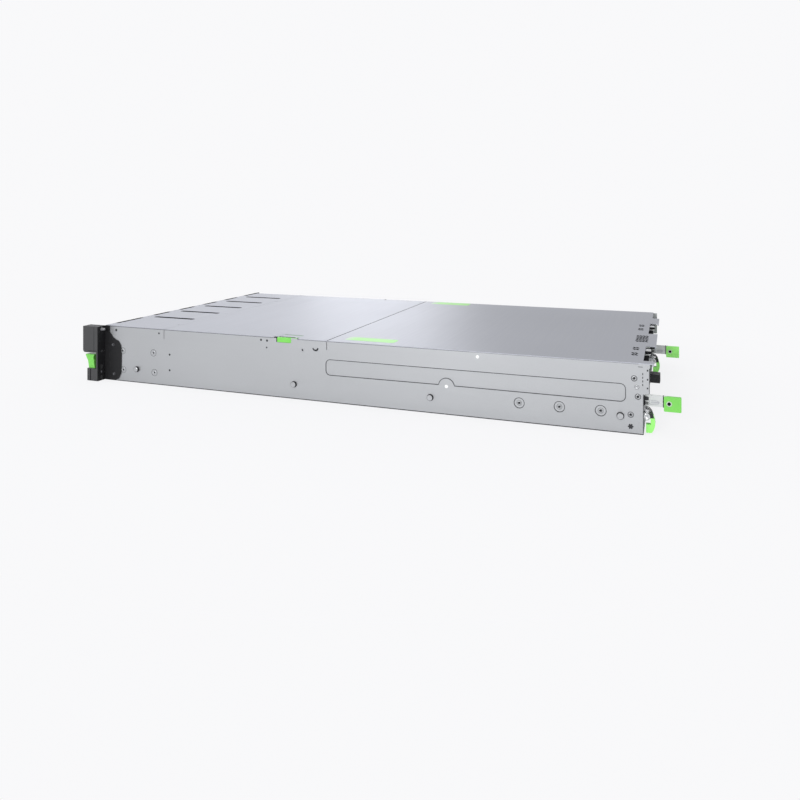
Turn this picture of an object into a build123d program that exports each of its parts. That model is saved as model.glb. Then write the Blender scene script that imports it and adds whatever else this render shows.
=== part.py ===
from build123d import *
import os
from math import cos, radians, sin

# Two-unit rack server with 24 upright drive bays, a fan row, one wide pull-out compute tray and two power supplies.
# Millimetres. +Z up, +Y to the rear, +X to the server's own left-to-right width.
# The origin is on the underside, midway between the sides, in the plane where the ears meet the rack posts.

os.makedirs("parts", exist_ok=True)

# Driving dimensions of the case
BODY_W = 448.0  # over the side plates
BODY_H = 87.0  # two rack units less the air gap between units
BODY_D = 818.0  # rack plane to the rear edge of the side plates
EAR_W = 17.3  # how far each rack ear stands out from the case
SHEET = 1.2  # sheet steel
FIT = 0.3  # clearance beside a piece that moves
SEAM = 0.4  # gap between two covers
JOIN = 0.1  # gap where one sheet is tabbed into another
RAIL_W = 9.0  # inner rail along the top of each side plate
SIDE_IN = BODY_W / 2 - SHEET
SEAT_Z = BODY_H - SHEET  # the covers rest at this height

# Cover seams and the stepped rear end of the case
FRONT_SEAM_Y = 113.0
REAR_SEAM_Y = 392.0
COVER_END_Y = BODY_D + 12.0
STEP_Y = 7.0  # how far the upper side plate stands behind the lower one
STEP_Z = 50.0
CORNER_R = 3.0
FLOOR_LIP = 3.0  # the floor runs this far past the rack plane, under the bezels

# Drive bays
BAY_PITCH = 18.0
NEAR_BAYS = 5  # bays between the right side wall and the first divider
GROUP_BAYS = 4
WALL = 1.2
BAY_COUNT = int((2 * SIDE_IN - 2 * WALL) / BAY_PITCH)
DIVIDERS = (BAY_COUNT - NEAR_BAYS) // GROUP_BAYS + 1
BAY_SPAN = BAY_PITCH * BAY_COUNT
CAGE_REAR_Y = 112.0
SLOT_W = 3.0
SLOT_Y = (17.5, 97.0)
DRIVE_COUNT = 4
CARRIER_W = 15.6
CARRIER_H = BODY_H - 11.0
CARRIER_Z = 5.0
CARRIER_Y = (3.0, 108.0)
BEZEL_T = 5.0
BEZEL_Y = -8.0
BEZEL_W = 16.8
BLANK_D = 30.0
HINGE_R = 1.5
RUN_FIT = 0.05  # radial running fit of a pin in its bore
LUG_W = 5.0
LEVER_PIVOT_UP = 7.0  # drive lever pin above the lever's lower end

# Backplane, fans and midplane
BOARD_T = 2.4
BACKPLANE_Y = 116.0
FAN_SIZE = BODY_H - 7.0
FAN_GAP = 4.0
FAN_PITCH = FAN_SIZE + FAN_GAP
FAN_COUNT = int(2 * SIDE_IN / FAN_PITCH)
FAN_DEPTH = 38.0
FAN_Y = 210.0
FAN_BORE_R = FAN_SIZE / 2 - 2.0
HUB_R = 17.0
BLADES = 7
BLADE_T = 1.6
BLADE_TURN = 35.0
SPINDLE_R = 2.0
MIDPLANE_Y = REAR_SEAM_Y + 4.0

# Power supplies, stacked in a bay of their own on the left
PSU_W = 73.5
PSU_HEAD = 7.0  # height that the shelf, the sheets and the clearances take
PSU_H = (BODY_H - PSU_HEAD) / 2
PSU_Y = (BODY_D - 258.0, BODY_D - 26.0)
PSU_LOOP = 25.0  # how far the pull loop stands out
LOOP_T = 5.0
PSU_PITCH = PSU_H + SHEET + 2 * FIT
PSU_X = -SIDE_IN + FIT + PSU_W / 2
PARTITION_X = PSU_X + PSU_W / 2 + FIT + SHEET / 2

# Compute tray
TRAY_FRONT_Y = REAR_SEAM_Y + 13.0
TRAY_REAR_Y = BODY_D - 3.0
TRAY_X = (PARTITION_X + SHEET / 2 + FIT, SIDE_IN - FIT)
TRAY_Z = SHEET + FIT
TRAY_WALL_H = 30.0
TRAY_BACK_H = BODY_H - 8.0
HANDLE_IN = (10.5, 21.2)  # from the right and left side of the tray to its handles
HANDLE_X = (TRAY_X[1] - HANDLE_IN[0], TRAY_X[0] + HANDLE_IN[1])
HANDLE_T = 1.6
HANDLE_Z = (33.0, 47.0)
HANDLE_END_Y = BODY_D + 26.0
TAB_LEN = 20.0
TAB_T = 5.0
TAB_Z = (28.4, 46.4)
TAB_START_Y = BODY_D + 23.0
PIVOT_Y = BODY_D + 3.0
PIVOT_Z = 21.0
PIVOT_PIN_R = 2.0
HUB_RAD = 4.4
LUG_T = 1.5
LEVER_T = 3.0
LEVER_W = 8.5
STANDOFF_H = 3.5
BOARD_Z = TRAY_Z + SHEET + STANDOFF_H

# Ears
EAR_Z = (0.6, BODY_H - 0.6)
EAR_OUT = BODY_W / 2 + EAR_W
BLOCK_Y = -29.6
BLOCK_Z = EAR_Z[1] - 41.4
BLOCK_TOP = {"right": EAR_Z[1], "left": EAR_Z[1] - 8.4}  # the block with the buttons is lower
HOUSING_Y = -21.0
HOUSING_Z = 20.0
EAR_WALL = 2.2
EAR_GAP = 0.4
LATCH_W = 9.6
EAR_PIVOT = (-12.5, 9.0)
RACK_HOLE_IN = 8.75  # from the ear's outer edge to the rack holes
RACK_HOLE_X = EAR_OUT - RACK_HOLE_IN
RACK_HOLE_Z = (5.5, BODY_H - 5.3)
RACK_HOLE_R = 3.4

# Expansion and rear connectors
PSU_EDGE_X = -BODY_W / 2 + 73.0
NOTCH_W = 102.0
NEAR_NOTCH_X = BODY_W / 2 - 16.0 - NOTCH_W
FAR_NOTCH_X = PSU_EDGE_X + 55.0
NOTCH_X = ((NEAR_NOTCH_X, NEAR_NOTCH_X + NOTCH_W), (FAR_NOTCH_X, FAR_NOTCH_X + NOTCH_W))
NOTCH_Y = BODY_D - 1.0
MODULE_W = 36.0
MODULE_LEFT = FAR_NOTCH_X + NOTCH_W + 18.0
MODULE_X = (MODULE_LEFT, MODULE_LEFT + MODULE_W)
MODULE_Z = (10.0, 44.0)
MODULE_FRONT_Y = BODY_D - 118.0

# The divider planes: five bays from the right wall, then four bays each
divider_x = [BAY_SPAN / 2 - BAY_PITCH * (NEAR_BAYS + GROUP_BAYS * n) for n in range(DIVIDERS)]
fan_x = [(n - (FAN_COUNT - 1) / 2) * FAN_PITCH for n in range(FAN_COUNT)]
bay_x = [BAY_SPAN / 2 - BAY_PITCH * (n + 0.5) for n in range(BAY_COUNT)]


def block(x, y, z, mode=Mode.ADD):
    """A box from its three pairs of limits."""
    with Locations(((x[0] + x[1]) / 2, (y[0] + y[1]) / 2, (z[0] + z[1]) / 2)):
        Box(x[1] - x[0], y[1] - y[0], z[1] - z[0], mode=mode)


def side_disc(x, y, z, radius, length, mode=Mode.ADD):
    """A round pin or bore along X, from x over the given length."""
    with Locations(Location((x + length / 2, y, z), (0, 90, 0))):
        Cylinder(radius, abs(length), mode=mode)


def rear_disc(x, y, z, radius, length, mode=Mode.ADD):
    """A round pin or bore along Y, from y over the given length."""
    with Locations(Location((x, y + length / 2, z), (90, 0, 0))):
        Cylinder(radius, abs(length), mode=mode)


# Details of the side plates, as places along Y and Z
RECESS_Y = (REAR_SEAM_Y - 1.4, BODY_D - 21.0)
RECESS_Z = (38.5, BODY_H - 26.5)
RECESS_DEEP = 0.5
RECESS_R = 6.5
BUMP_Y = 568.5
BUMP_R = 11.0
STUD_Y = (61.4, 339.8, 546.0, BODY_D - 27.1)
STUD_Z = 21.0
DIMPLE_Y = (BODY_D - 152.0, BODY_D - 101.0, BODY_D - 50.5)
DIMPLE_Z = 24.8
DIMPLE_R = 7.0
LATCH_Y = (312.0, 343.0)
LATCH_SLANT = 8.0  # how much shorter the latch is at its lower edge
LATCH_Z = BODY_H - 7.0
LATCH_ROOT_X = BODY_W / 2 - 24.0
LATCH_GAP_Y = (LATCH_Y[0] - 2 * FIT, LATCH_Y[1] + 2 * FIT)
TOP_HOLES = ((103.4, 7.2), (20.8, 7.0), (285.3, 5.6), (295.3, 6.0), (294.7, 16.2))  # along Y, and down from the top
SIDE_HOLES = [(y, BODY_H - down) for y, down in TOP_HOLES] + [(123.5, 48.2), (123.5, 24.0)]
SIDE_HOLE_R = 1.3
REAR_SCREWS = ((15.0, 23.4), (11.0, 68.0), (6.6, 46.0), (15.0, 9.1))  # forward of the rear edge, and up
SIDE_SCREWS = [(BODY_D - back, z) for back, z in REAR_SCREWS]
SIDE_SCREWS += [(93.0, 48.7), (95.0, 18.3), (353.6, BODY_H - 15.8)]
SCREW_R = 3.2
SCREW_T = 0.5
RIVETS = ((BUMP_Y, RECESS_Z[0] - 1), (611.0, BODY_H - 7.0))
RIVET_R = 2.4

# Chassis base: floor and side plates with a stepped rear edge
with BuildPart() as chassis_base:
    block((-SIDE_IN, SIDE_IN), (-FLOOR_LIP, BODY_D), (0, SHEET))
    for side in (1, -1):
        with BuildSketch(Plane.YZ.offset(side * BODY_W / 2)) as plate:
            with BuildLine():
                Polyline(
                    (0, 0),
                    (BODY_D, 0),
                    (BODY_D, STEP_Z),
                    (BODY_D + STEP_Y, STEP_Z),
                    (BODY_D + STEP_Y, SEAT_Z),
                    (0, SEAT_Z),
                    close=True,
                )
            make_face()
            fillet(plate.vertices().sort_by(Axis.X)[-4:-2], CORNER_R)
        extrude(amount=-side * SHEET)
        with BuildSketch(Plane.YZ.offset(side * BODY_W / 2)):
            with Locations(((RECESS_Y[0] + RECESS_Y[1]) / 2, (RECESS_Z[0] + RECESS_Z[1]) / 2)):
                RectangleRounded(RECESS_Y[1] - RECESS_Y[0], RECESS_Z[1] - RECESS_Z[0], RECESS_R)
            with Locations((BUMP_Y, RECESS_Z[0] - 1)):
                Circle(BUMP_R, mode=Mode.SUBTRACT)
            with Locations(*[(y, DIMPLE_Z) for y in DIMPLE_Y]):
                Circle(DIMPLE_R)
        extrude(amount=-side * RECESS_DEEP, mode=Mode.SUBTRACT)
        with BuildSketch(Plane.YZ.offset(side * BODY_W / 2)):
            with Locations(*SIDE_HOLES):
                Circle(SIDE_HOLE_R)
            with Locations((FRONT_SEAM_Y, SEAT_Z - 7), (REAR_SEAM_Y, SEAT_Z - 5)):
                Rectangle(0.8, 14)
            with Locations((374.3, BODY_H - 13.3)):
                SlotOverall(8, 3)
        extrude(amount=-side * SHEET, mode=Mode.SUBTRACT)
    with BuildSketch(Plane.YZ.offset(SIDE_IN)):
        with BuildLine():
            Polyline(
                (LATCH_GAP_Y[0], LATCH_Z - FIT),
                (LATCH_GAP_Y[1] - LATCH_SLANT, LATCH_Z - FIT),
                (LATCH_GAP_Y[1], BODY_H - 2.4 - FIT),
                (LATCH_GAP_Y[1], BODY_H),
                (LATCH_GAP_Y[0], BODY_H),
                close=True,
            )
        make_face()
    extrude(amount=SHEET, mode=Mode.SUBTRACT)
chassis_base.part.label = "chassis_base"
export_step(chassis_base.part, "parts/chassis_base.step")

# Inner frame: two rails along the top of the side plates, the upright sheet beside the power supplies
# and the shelf between them
SHELF_Z = SHEET + FIT + PSU_H + FIT
with BuildPart() as inner_frame:
    for side in (1, -1):
        rail_x = sorted((side * (SIDE_IN - RAIL_W), side * SIDE_IN))
        block(rail_x, (0, BODY_D), (SEAT_Z - SHEET, SEAT_Z))
    block((LATCH_ROOT_X - FIT, SIDE_IN), LATCH_GAP_Y, (SEAT_Z - SHEET, SEAT_Z), Mode.SUBTRACT)
    sheet_x = (PARTITION_X - SHEET / 2, PARTITION_X + SHEET / 2)
    block(sheet_x, (PSU_Y[0] - 20, BODY_D - 1), (SHEET, SEAT_Z - SHEET))
    block((-SIDE_IN, sheet_x[0] - JOIN), (PSU_Y[0], BODY_D - 4), (SHELF_Z, SHELF_Z + SHEET))
inner_frame.part.label = "inner_frame"
export_step(inner_frame.part, "parts/inner_frame.step")

# Rail studs: round pins on both side plates that hang the case in its rails
STUD_R = 4.0
STUD_OUT = 3.6
with BuildPart() as rail_studs:
    for side in (1, -1):
        for y in STUD_Y:
            side_disc(side * BODY_W / 2, y, STUD_Z, STUD_R, side * STUD_OUT)
rail_studs.part.label = "rail_studs"
export_step(rail_studs.part, "parts/rail_studs.step")

# Side screws and rivets: flat heads on both side plates, and one screw in the middle of each dimple
with BuildPart() as side_screws:
    for side in (1, -1):
        face_x = side * BODY_W / 2
        for y, z in SIDE_SCREWS:
            side_disc(face_x, y, z, SCREW_R, side * SCREW_T)
            side_disc(face_x + side * SCREW_T, y, z, SCREW_R * 0.4, -side * SCREW_T * 0.7, Mode.SUBTRACT)
        for y in DIMPLE_Y:
            side_disc(face_x - side * RECESS_DEEP, y, DIMPLE_Z, SCREW_R, side * (RECESS_DEEP + SCREW_T * 0.5))
            socket_x = face_x + side * SCREW_T * 0.5
            side_disc(socket_x, y, DIMPLE_Z, SCREW_R * 0.4, -side * SCREW_T * 0.7, Mode.SUBTRACT)
        for y, z in RIVETS:
            side_disc(face_x, y, z, RIVET_R, side * SCREW_T)
side_screws.part.label = "side_screws"
export_step(side_screws.part, "parts/side_screws.step")

# Drive cage: floor, side walls and dividers of the bays, and a cross plate with one window per bay
CAGE_FLOOR = SHEET + 1.0
CAGE_TOP = SEAT_Z - SHEET - FIT
cage_y = (1, CAGE_REAR_Y - WALL - JOIN)
with BuildPart() as drive_cage:
    block((-BAY_SPAN / 2 - WALL, BAY_SPAN / 2 + WALL), cage_y, (SHEET, CAGE_FLOOR))
    for x in [BAY_SPAN / 2 + WALL / 2, -BAY_SPAN / 2 - WALL / 2] + divider_x:
        block((x - WALL / 2, x + WALL / 2), cage_y, (CAGE_FLOOR + JOIN, CAGE_TOP))
    block((-SIDE_IN, SIDE_IN), (CAGE_REAR_Y - WALL, CAGE_REAR_Y), (SHEET, CAGE_TOP))
    for x in bay_x:
        block((x - 6, x + 6), (CAGE_REAR_Y - WALL, CAGE_REAR_Y), (12, SEAT_Z - 12), Mode.SUBTRACT)
drive_cage.part.label = "drive_cage"
export_step(drive_cage.part, "parts/drive_cage.step")

# Bay blanks: a plastic filler with two vent slots in every bay that holds no drive
BLANK_Z = (CAGE_FLOOR + FIT, BODY_H - 4.5)
with BuildPart() as bay_blanks:
    for x in bay_x[DRIVE_COUNT:]:
        half = BEZEL_W / 2
        block((x - half, x + half), (BEZEL_Y, BEZEL_Y + BEZEL_T), BLANK_Z)
        core = (BAY_PITCH - WALL) / 2 - FIT
        block((x - core, x + core), (BEZEL_Y + BEZEL_T, BLANK_D), (BLANK_Z[0], BLANK_Z[1] - 2))
        for low in (BLANK_Z[0] + 9.5, BLANK_Z[1] - 34.5):
            block((x - 3, x + 3), (BEZEL_Y, BLANK_D), (low, low + 24), Mode.SUBTRACT)
bay_blanks.part.label = "bay_blanks"
export_step(bay_blanks.part, "parts/bay_blanks.step")

# Drive carriers and their front levers. The lever pin is on a lug of the carrier.
LEVER_Z = (CAGE_FLOOR + 1, BODY_H - 5.8)
VENT_ROWS = 5
VENT_STEP = (LEVER_Z[1] - LEVER_Z[0] - LEVER_PIVOT_UP - 26) / VENT_ROWS
PIN_Y = BEZEL_Y + BEZEL_T / 2
PIN_Z = LEVER_Z[0] + LEVER_PIVOT_UP
for number, x in enumerate(bay_x[:DRIVE_COUNT], start=1):
    with BuildPart() as drive:
        block((x - CARRIER_W / 2, x + CARRIER_W / 2), CARRIER_Y, (CARRIER_Z, CARRIER_Z + CARRIER_H))
        block((x - LUG_W / 2, x + LUG_W / 2), (PIN_Y, CARRIER_Y[0]), (PIN_Z - HINGE_R, PIN_Z + HINGE_R))
        side_disc(x - LUG_W / 2, PIN_Y, PIN_Z, HINGE_R, LUG_W)
        side_disc(x - CARRIER_W / 2, PIN_Y, PIN_Z, HINGE_R, CARRIER_W)
        pocket = (CARRIER_Y[0] + 8, CARRIER_Y[1] - 6)
        pocket_z = (CARRIER_Z + 6, CARRIER_Z + CARRIER_H - 6)
        block((x + CARRIER_W / 2 - 1, x + CARRIER_W / 2), pocket, pocket_z, Mode.SUBTRACT)
    drive.part.label = f"drive_{number}"
    export_step(drive.part, f"parts/drive_{number}.step")
    with BuildPart() as drive_lever:
        block((x - BEZEL_W / 2, x + BEZEL_W / 2), (BEZEL_Y, BEZEL_Y + BEZEL_T), LEVER_Z)
        fillet(drive_lever.edges().filter_by(Axis.X).sort_by(Axis.Y)[:2], 1.2)
        side_disc(x - BEZEL_W / 2, PIN_Y, PIN_Z, HINGE_R + RUN_FIT, BEZEL_W, Mode.SUBTRACT)
        lug = (x - LUG_W / 2 - FIT, x + LUG_W / 2 + FIT)
        block(lug, (BEZEL_Y + 0.6, BEZEL_Y + BEZEL_T), (LEVER_Z[0], PIN_Z + 4), Mode.SUBTRACT)
        block((x - 5, x + 5), (BEZEL_Y, BEZEL_Y + 1.4), (LEVER_Z[1] - 14, LEVER_Z[1] - 6), Mode.SUBTRACT)
        for row in range(VENT_ROWS):
            low = PIN_Z + 10 + row * VENT_STEP
            block((x - 5, x + 5), (BEZEL_Y, BEZEL_Y + BEZEL_T), (low, low + 5), Mode.SUBTRACT)
    drive_lever.part.label = f"drive_lever_{number}"
    export_step(drive_lever.part, f"parts/drive_lever_{number}.step")

# Front cover over the drive bays, with a slot above each divider and a relieved front edge between them
RELIEF = 3.0
with BuildPart() as front_cover:
    block((-BODY_W / 2, BODY_W / 2), (0, FRONT_SEAM_Y), (SEAT_Z, BODY_H))
    for x in divider_x:
        block((x - SLOT_W / 2, x + SLOT_W / 2), SLOT_Y, (SEAT_Z, BODY_H), Mode.SUBTRACT)
        block((x - 57, x - 15), (0, RELIEF), (SEAT_Z, BODY_H), Mode.SUBTRACT)
        with Locations((x - 4, 7, BODY_H), (x + 4, 7, BODY_H), (x, 4, BODY_H)):
            Hole(0.9, SHEET)
    block((divider_x[0] + 15, BAY_SPAN / 2 - 18), (0, RELIEF), (SEAT_Z, BODY_H), Mode.SUBTRACT)
    with Locations((BODY_W / 2 - 43, FRONT_SEAM_Y - 5.4, BODY_H)):
        Hole(1.2, SHEET)
front_cover.part.label = "front_cover"
export_step(front_cover.part, "parts/front_cover.step")

# Middle cover over the fans. Two cheeks under its latch notch carry the latch pin.
LATCH_PIN_X = LATCH_ROOT_X + 3.0
LATCH_PIN_Z = BODY_H - 4.0
LATCH_PIN_R = 1.2
CHEEK_T = 2.0
NOTCH_EDGE_Y = (LATCH_Y[0] - 6, LATCH_Y[1] + 3)
cheek_y = (LATCH_Y[0] - FIT - CHEEK_T, LATCH_Y[1] + FIT)
with BuildPart() as mid_cover:
    block((-BODY_W / 2, BODY_W / 2), (FRONT_SEAM_Y + SEAM, REAR_SEAM_Y - SEAM / 2), (SEAT_Z, BODY_H))
    block((LATCH_ROOT_X - 1, BODY_W / 2), NOTCH_EDGE_Y, (SEAT_Z, BODY_H), Mode.SUBTRACT)
    for y in cheek_y:
        block((LATCH_ROOT_X - 4, LATCH_PIN_X + 3), (y, y + CHEEK_T), (LATCH_PIN_Z - 3, SEAT_Z))
        rear_disc(LATCH_PIN_X, y, LATCH_PIN_Z, LATCH_PIN_R + RUN_FIT, CHEEK_T, Mode.SUBTRACT)
mid_cover.part.label = "mid_cover"
export_step(mid_cover.part, "parts/mid_cover.step")

# Cover latch: a flap that wraps over the top edge and turns up about its pin
with BuildPart() as cover_latch:
    flap_y = (LATCH_Y[0] + FIT, LATCH_Y[1] - FIT)
    flap_top = BODY_H - 0.2
    block((LATCH_ROOT_X + 0.8, BODY_W / 2), flap_y, (BODY_H - 2.4, flap_top))
    with BuildSketch(Plane.YZ.offset(BODY_W / 2 - 1.6)):
        with BuildLine():
            Polyline(
                (flap_y[0], LATCH_Z),
                (flap_y[1] - LATCH_SLANT, LATCH_Z),
                (flap_y[1], BODY_H - 2.4),
                (flap_y[1], flap_top),
                (flap_y[0], flap_top),
                close=True,
            )
        make_face()
    extrude(amount=1.6)
    block((LATCH_ROOT_X + 0.8, LATCH_PIN_X + 3), flap_y, (LATCH_PIN_Z - 3, flap_top))
    rear_disc(LATCH_PIN_X, cheek_y[0], LATCH_PIN_Z, LATCH_PIN_R, cheek_y[1] + CHEEK_T - cheek_y[0])
cover_latch.part.label = "cover_latch"
export_step(cover_latch.part, "parts/cover_latch.step")

# Rear cover with its notched rear edge and vents
GRILLE_X = (NOTCH_X[1][1] + NOTCH_X[0][0]) / 2 - 4.5
GRILLE_Y = BODY_D - 8.0
VENT_SETS = (NOTCH_X[0][0] + 24, NOTCH_X[0][0] + 62, NOTCH_X[1][0] + 29, NOTCH_X[1][0] + 65)
with BuildPart() as rear_cover:
    block((-BODY_W / 2, BODY_W / 2), (REAR_SEAM_Y + SEAM / 2, COVER_END_Y), (SEAT_Z, BODY_H))
    for x in NOTCH_X:
        block(x, (NOTCH_Y, COVER_END_Y), (SEAT_Z, BODY_H), Mode.SUBTRACT)
    block((-BODY_W / 2, PSU_EDGE_X), (BODY_D + 1, COVER_END_Y), (SEAT_Z, BODY_H), Mode.SUBTRACT)
    with BuildSketch(Plane.XY.offset(SEAT_Z)):
        with Locations((GRILLE_X, GRILLE_Y)):
            with GridLocations(11, 4.2, 5, 4):
                SlotOverall(8, 1.8, rotation=20)
        for x in VENT_SETS:
            with Locations((x, BODY_D - 13)):
                with GridLocations(11, 4, 2, 2):
                    SlotOverall(7, 1.8, rotation=20)
    extrude(amount=SHEET, mode=Mode.SUBTRACT)
rear_cover.part.label = "rear_cover"
export_step(rear_cover.part, "parts/rear_cover.step")

# Backplane with one drive connector per bay
with BuildPart() as backplane:
    block((-SIDE_IN + 4, SIDE_IN - 4), (BACKPLANE_Y, BACKPLANE_Y + BOARD_T), (SHEET, SEAT_Z - SHEET - 1))
    for x in bay_x:
        block((x - 4, x + 4), (CARRIER_Y[1] + FIT, BACKPLANE_Y), (CARRIER_Z + 10, CARRIER_Z + 50))
backplane.part.label = "backplane"
export_step(backplane.part, "parts/backplane.step")

# Fan frames: square housings with a round duct, and a motor seat on four struts at the rear
FAN_Z = SHEET + FAN_SIZE / 2
STRUT_D = 4.0
with BuildPart() as fan_frames:
    for x in fan_x:
        half = FAN_SIZE / 2
        block((x - half, x + half), (FAN_Y, FAN_Y + FAN_DEPTH), (SHEET, SHEET + FAN_SIZE))
        rear_disc(x, FAN_Y, FAN_Z, FAN_BORE_R, FAN_DEPTH, Mode.SUBTRACT)
        rear_disc(x, FAN_Y + FAN_DEPTH - STRUT_D, FAN_Z, HUB_R, STRUT_D)
        strut_y = (FAN_Y + FAN_DEPTH - STRUT_D, FAN_Y + FAN_DEPTH)
        block((x - FAN_BORE_R, x + FAN_BORE_R), strut_y, (FAN_Z - 2, FAN_Z + 2))
        block((x - 2, x + 2), strut_y, (FAN_Z - FAN_BORE_R, FAN_Z + FAN_BORE_R))
        rear_disc(x, FAN_Y + 14, FAN_Z, SPINDLE_R, FAN_DEPTH - STRUT_D - 14)
    block((-SIDE_IN, SIDE_IN), (FAN_Y, FAN_Y + 3), (SHEET, SHEET + 3))
fan_frames.part.label = "fan_frames"
export_step(fan_frames.part, "parts/fan_frames.step")

# Fan impellers: a hub on the fan spindle with twisted blades
IMPELLER_Y = (FAN_Y + 5, FAN_Y + FAN_DEPTH - STRUT_D - FIT)
for number, x in enumerate(fan_x, start=1):
    with BuildPart() as impeller:
        rear_disc(x, IMPELLER_Y[0], FAN_Z, HUB_R, IMPELLER_Y[1] - IMPELLER_Y[0])
        for turn in range(BLADES):
            angle = 360 / BLADES * turn
            outward = Vector(cos(radians(angle)), 0, sin(radians(angle)))
            root = Vector(x, (IMPELLER_Y[0] + IMPELLER_Y[1]) / 2, FAN_Z) + outward * (HUB_R - 1)
            across = Vector(0, 1, 0).rotate(Axis((0, 0, 0), outward), BLADE_TURN)
            with BuildSketch(Plane(origin=root, x_dir=across, z_dir=outward)):
                Rectangle(26, BLADE_T)
            extrude(amount=FAN_BORE_R - HUB_R - 1)
        rear_disc(x, FAN_Y + 12, FAN_Z, SPINDLE_R + RUN_FIT, FAN_DEPTH, Mode.SUBTRACT)
    impeller.part.label = f"fan_impeller_{number}"
    export_step(impeller.part, f"parts/fan_impeller_{number}.step")

# Midplane that the compute tray plugs into
with BuildPart() as midplane:
    block((PARTITION_X + 4, SIDE_IN - 4), (MIDPLANE_Y, MIDPLANE_Y + BOARD_T), (SHEET, BODY_H - 21))
    tray_mid = (TRAY_X[0] + TRAY_X[1]) / 2
    for x in (tray_mid - 100, tray_mid, tray_mid + 100):
        block((x - 25, x + 25), (MIDPLANE_Y + BOARD_T, TRAY_FRONT_Y - FIT), (16, 34))
midplane.part.label = "midplane"
export_step(midplane.part, "parts/midplane.step")

# Power supplies: steel cases with a rear fan grille, a fixed pull loop and a latch on an upright pin
PSU_IN_X = (PSU_X - PSU_W / 2, PSU_X + PSU_W / 2)
PSU_LATCH_X = PSU_IN_X[1] - 8
PSU_LATCH_T = 4.0
PSU_LATCH_Y = PSU_Y[1] + 20
PSU_PIN_Y = PSU_Y[1] + 3.0
PSU_PIN_R = 1.2
KNUCKLE_R = 2.6
LATCH_HALF = 6.0
for level, place in enumerate(("lower", "upper")):
    low = SHEET + FIT + level * PSU_PITCH
    middle = low + PSU_H / 2
    with BuildPart() as psu:
        block(PSU_IN_X, PSU_Y, (low, low + PSU_H))
        rear_disc(PSU_X - 14, PSU_Y[1] - 4, middle, 17, 4, Mode.SUBTRACT)
        rear_disc(PSU_X - 14, PSU_Y[1] - 4, middle, 6, 3)
        block((PSU_X + 8, PSU_X + 24), (PSU_Y[1] - 12, PSU_Y[1]), (middle - 10, middle + 10), Mode.SUBTRACT)
        pin_x = PSU_LATCH_X + PSU_LATCH_T / 2
        for lug_z in (middle - LATCH_HALF - FIT - LUG_T, middle + LATCH_HALF + FIT):
            lug_x = (pin_x - KNUCKLE_R, pin_x + KNUCKLE_R)
            block(lug_x, (PSU_Y[1], PSU_PIN_Y + PSU_PIN_R + 1), (lug_z, lug_z + LUG_T))
        with Locations((pin_x, PSU_PIN_Y, middle)):
            Cylinder(PSU_PIN_R, 2 * (LATCH_HALF + FIT))
    psu.part.label = f"psu_{place}"
    export_step(psu.part, f"parts/psu_{place}.step")
    with BuildPart() as loop:
        block((PSU_X - 33, PSU_X + 5), (PSU_Y[1], PSU_Y[1] + PSU_LOOP), (middle - 5, middle + 5))
        gap_x = (PSU_X - 33 + LOOP_T, PSU_X + 5 - LOOP_T)
        block(gap_x, (PSU_Y[1], PSU_Y[1] + PSU_LOOP - LOOP_T), (middle - 5, middle + 5), Mode.SUBTRACT)
    loop.part.label = f"psu_loop_{place}"
    export_step(loop.part, f"parts/psu_loop_{place}.step")
    with BuildPart() as latch:
        latch_z = (middle - LATCH_HALF, middle + LATCH_HALF)
        block((PSU_LATCH_X, PSU_LATCH_X + PSU_LATCH_T), (PSU_PIN_Y, PSU_LATCH_Y), latch_z)
        with Locations((pin_x, PSU_PIN_Y, middle)):
            Cylinder(KNUCKLE_R, 2 * LATCH_HALF)
            Cylinder(PSU_PIN_R + RUN_FIT, 2 * LATCH_HALF, mode=Mode.SUBTRACT)
    latch.part.label = f"psu_latch_{place}"
    export_step(latch.part, f"parts/psu_latch_{place}.step")

# Riser cages stand under the notches and hold two cards each
RISER_Y = (TRAY_REAR_Y - 165.0, TRAY_REAR_Y - SHEET)
RISER_Z = (44.0, BODY_H - 5.0)
RISER_LEN = 80.0
RISER_IN = 20.0  # from the left side of a riser cage to its upright board
CARD_Z = RISER_Z[0] + 4.0
CARD_PITCH = (RISER_Z[1] - RISER_Z[0] - 8.0) / 2
CARD_OPEN = CARD_PITCH - 4.0

# Compute tray: floor, low side walls and standoffs for the board
PORT_Z = (BOARD_Z + 1.6, BOARD_Z + 17)
PORT_W = 17.0
PORT_PITCH = 19.0
FAR_PORT_X = FAR_NOTCH_X + 44.0
NEAR_PORT_X = MODULE_X[1] + 8.0
NEAR_PORTS = int((NEAR_NOTCH_X - NEAR_PORT_X) / PORT_PITCH)
port_starts = [FAR_PORT_X, FAR_PORT_X + PORT_PITCH] + [NEAR_PORT_X + PORT_PITCH * n for n in range(NEAR_PORTS)]
PORTS = [(start, start + PORT_W) for start in port_starts]
LEVER_WINDOW = (8.0, HANDLE_Z[0] - 1)
VENT_R = 2.0
VENT_PITCH = 7.0
with BuildPart() as tray_base:
    block(TRAY_X, (TRAY_FRONT_Y, TRAY_REAR_Y), (TRAY_Z, TRAY_Z + SHEET))
    for x in (TRAY_X[0], TRAY_X[1] - SHEET):
        block((x, x + SHEET), (TRAY_FRONT_Y, TRAY_REAR_Y - SHEET), (TRAY_Z, TRAY_Z + TRAY_WALL_H))
    with BuildSketch(Plane.XY.offset(TRAY_Z + SHEET)):
        with Locations(((TRAY_X[0] + TRAY_X[1]) / 2, (TRAY_FRONT_Y + TRAY_REAR_Y) / 2)):
            board_w = TRAY_X[1] - TRAY_X[0] - 8
            board_d = TRAY_REAR_Y - TRAY_FRONT_Y - 14
            with GridLocations((board_w - 20) / 3, (board_d - 40) / 2, 4, 3):
                Circle(3.5)
    extrude(amount=STANDOFF_H)
tray_base.part.label = "tray_base"
export_step(tray_base.part, "parts/tray_base.step")

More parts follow.
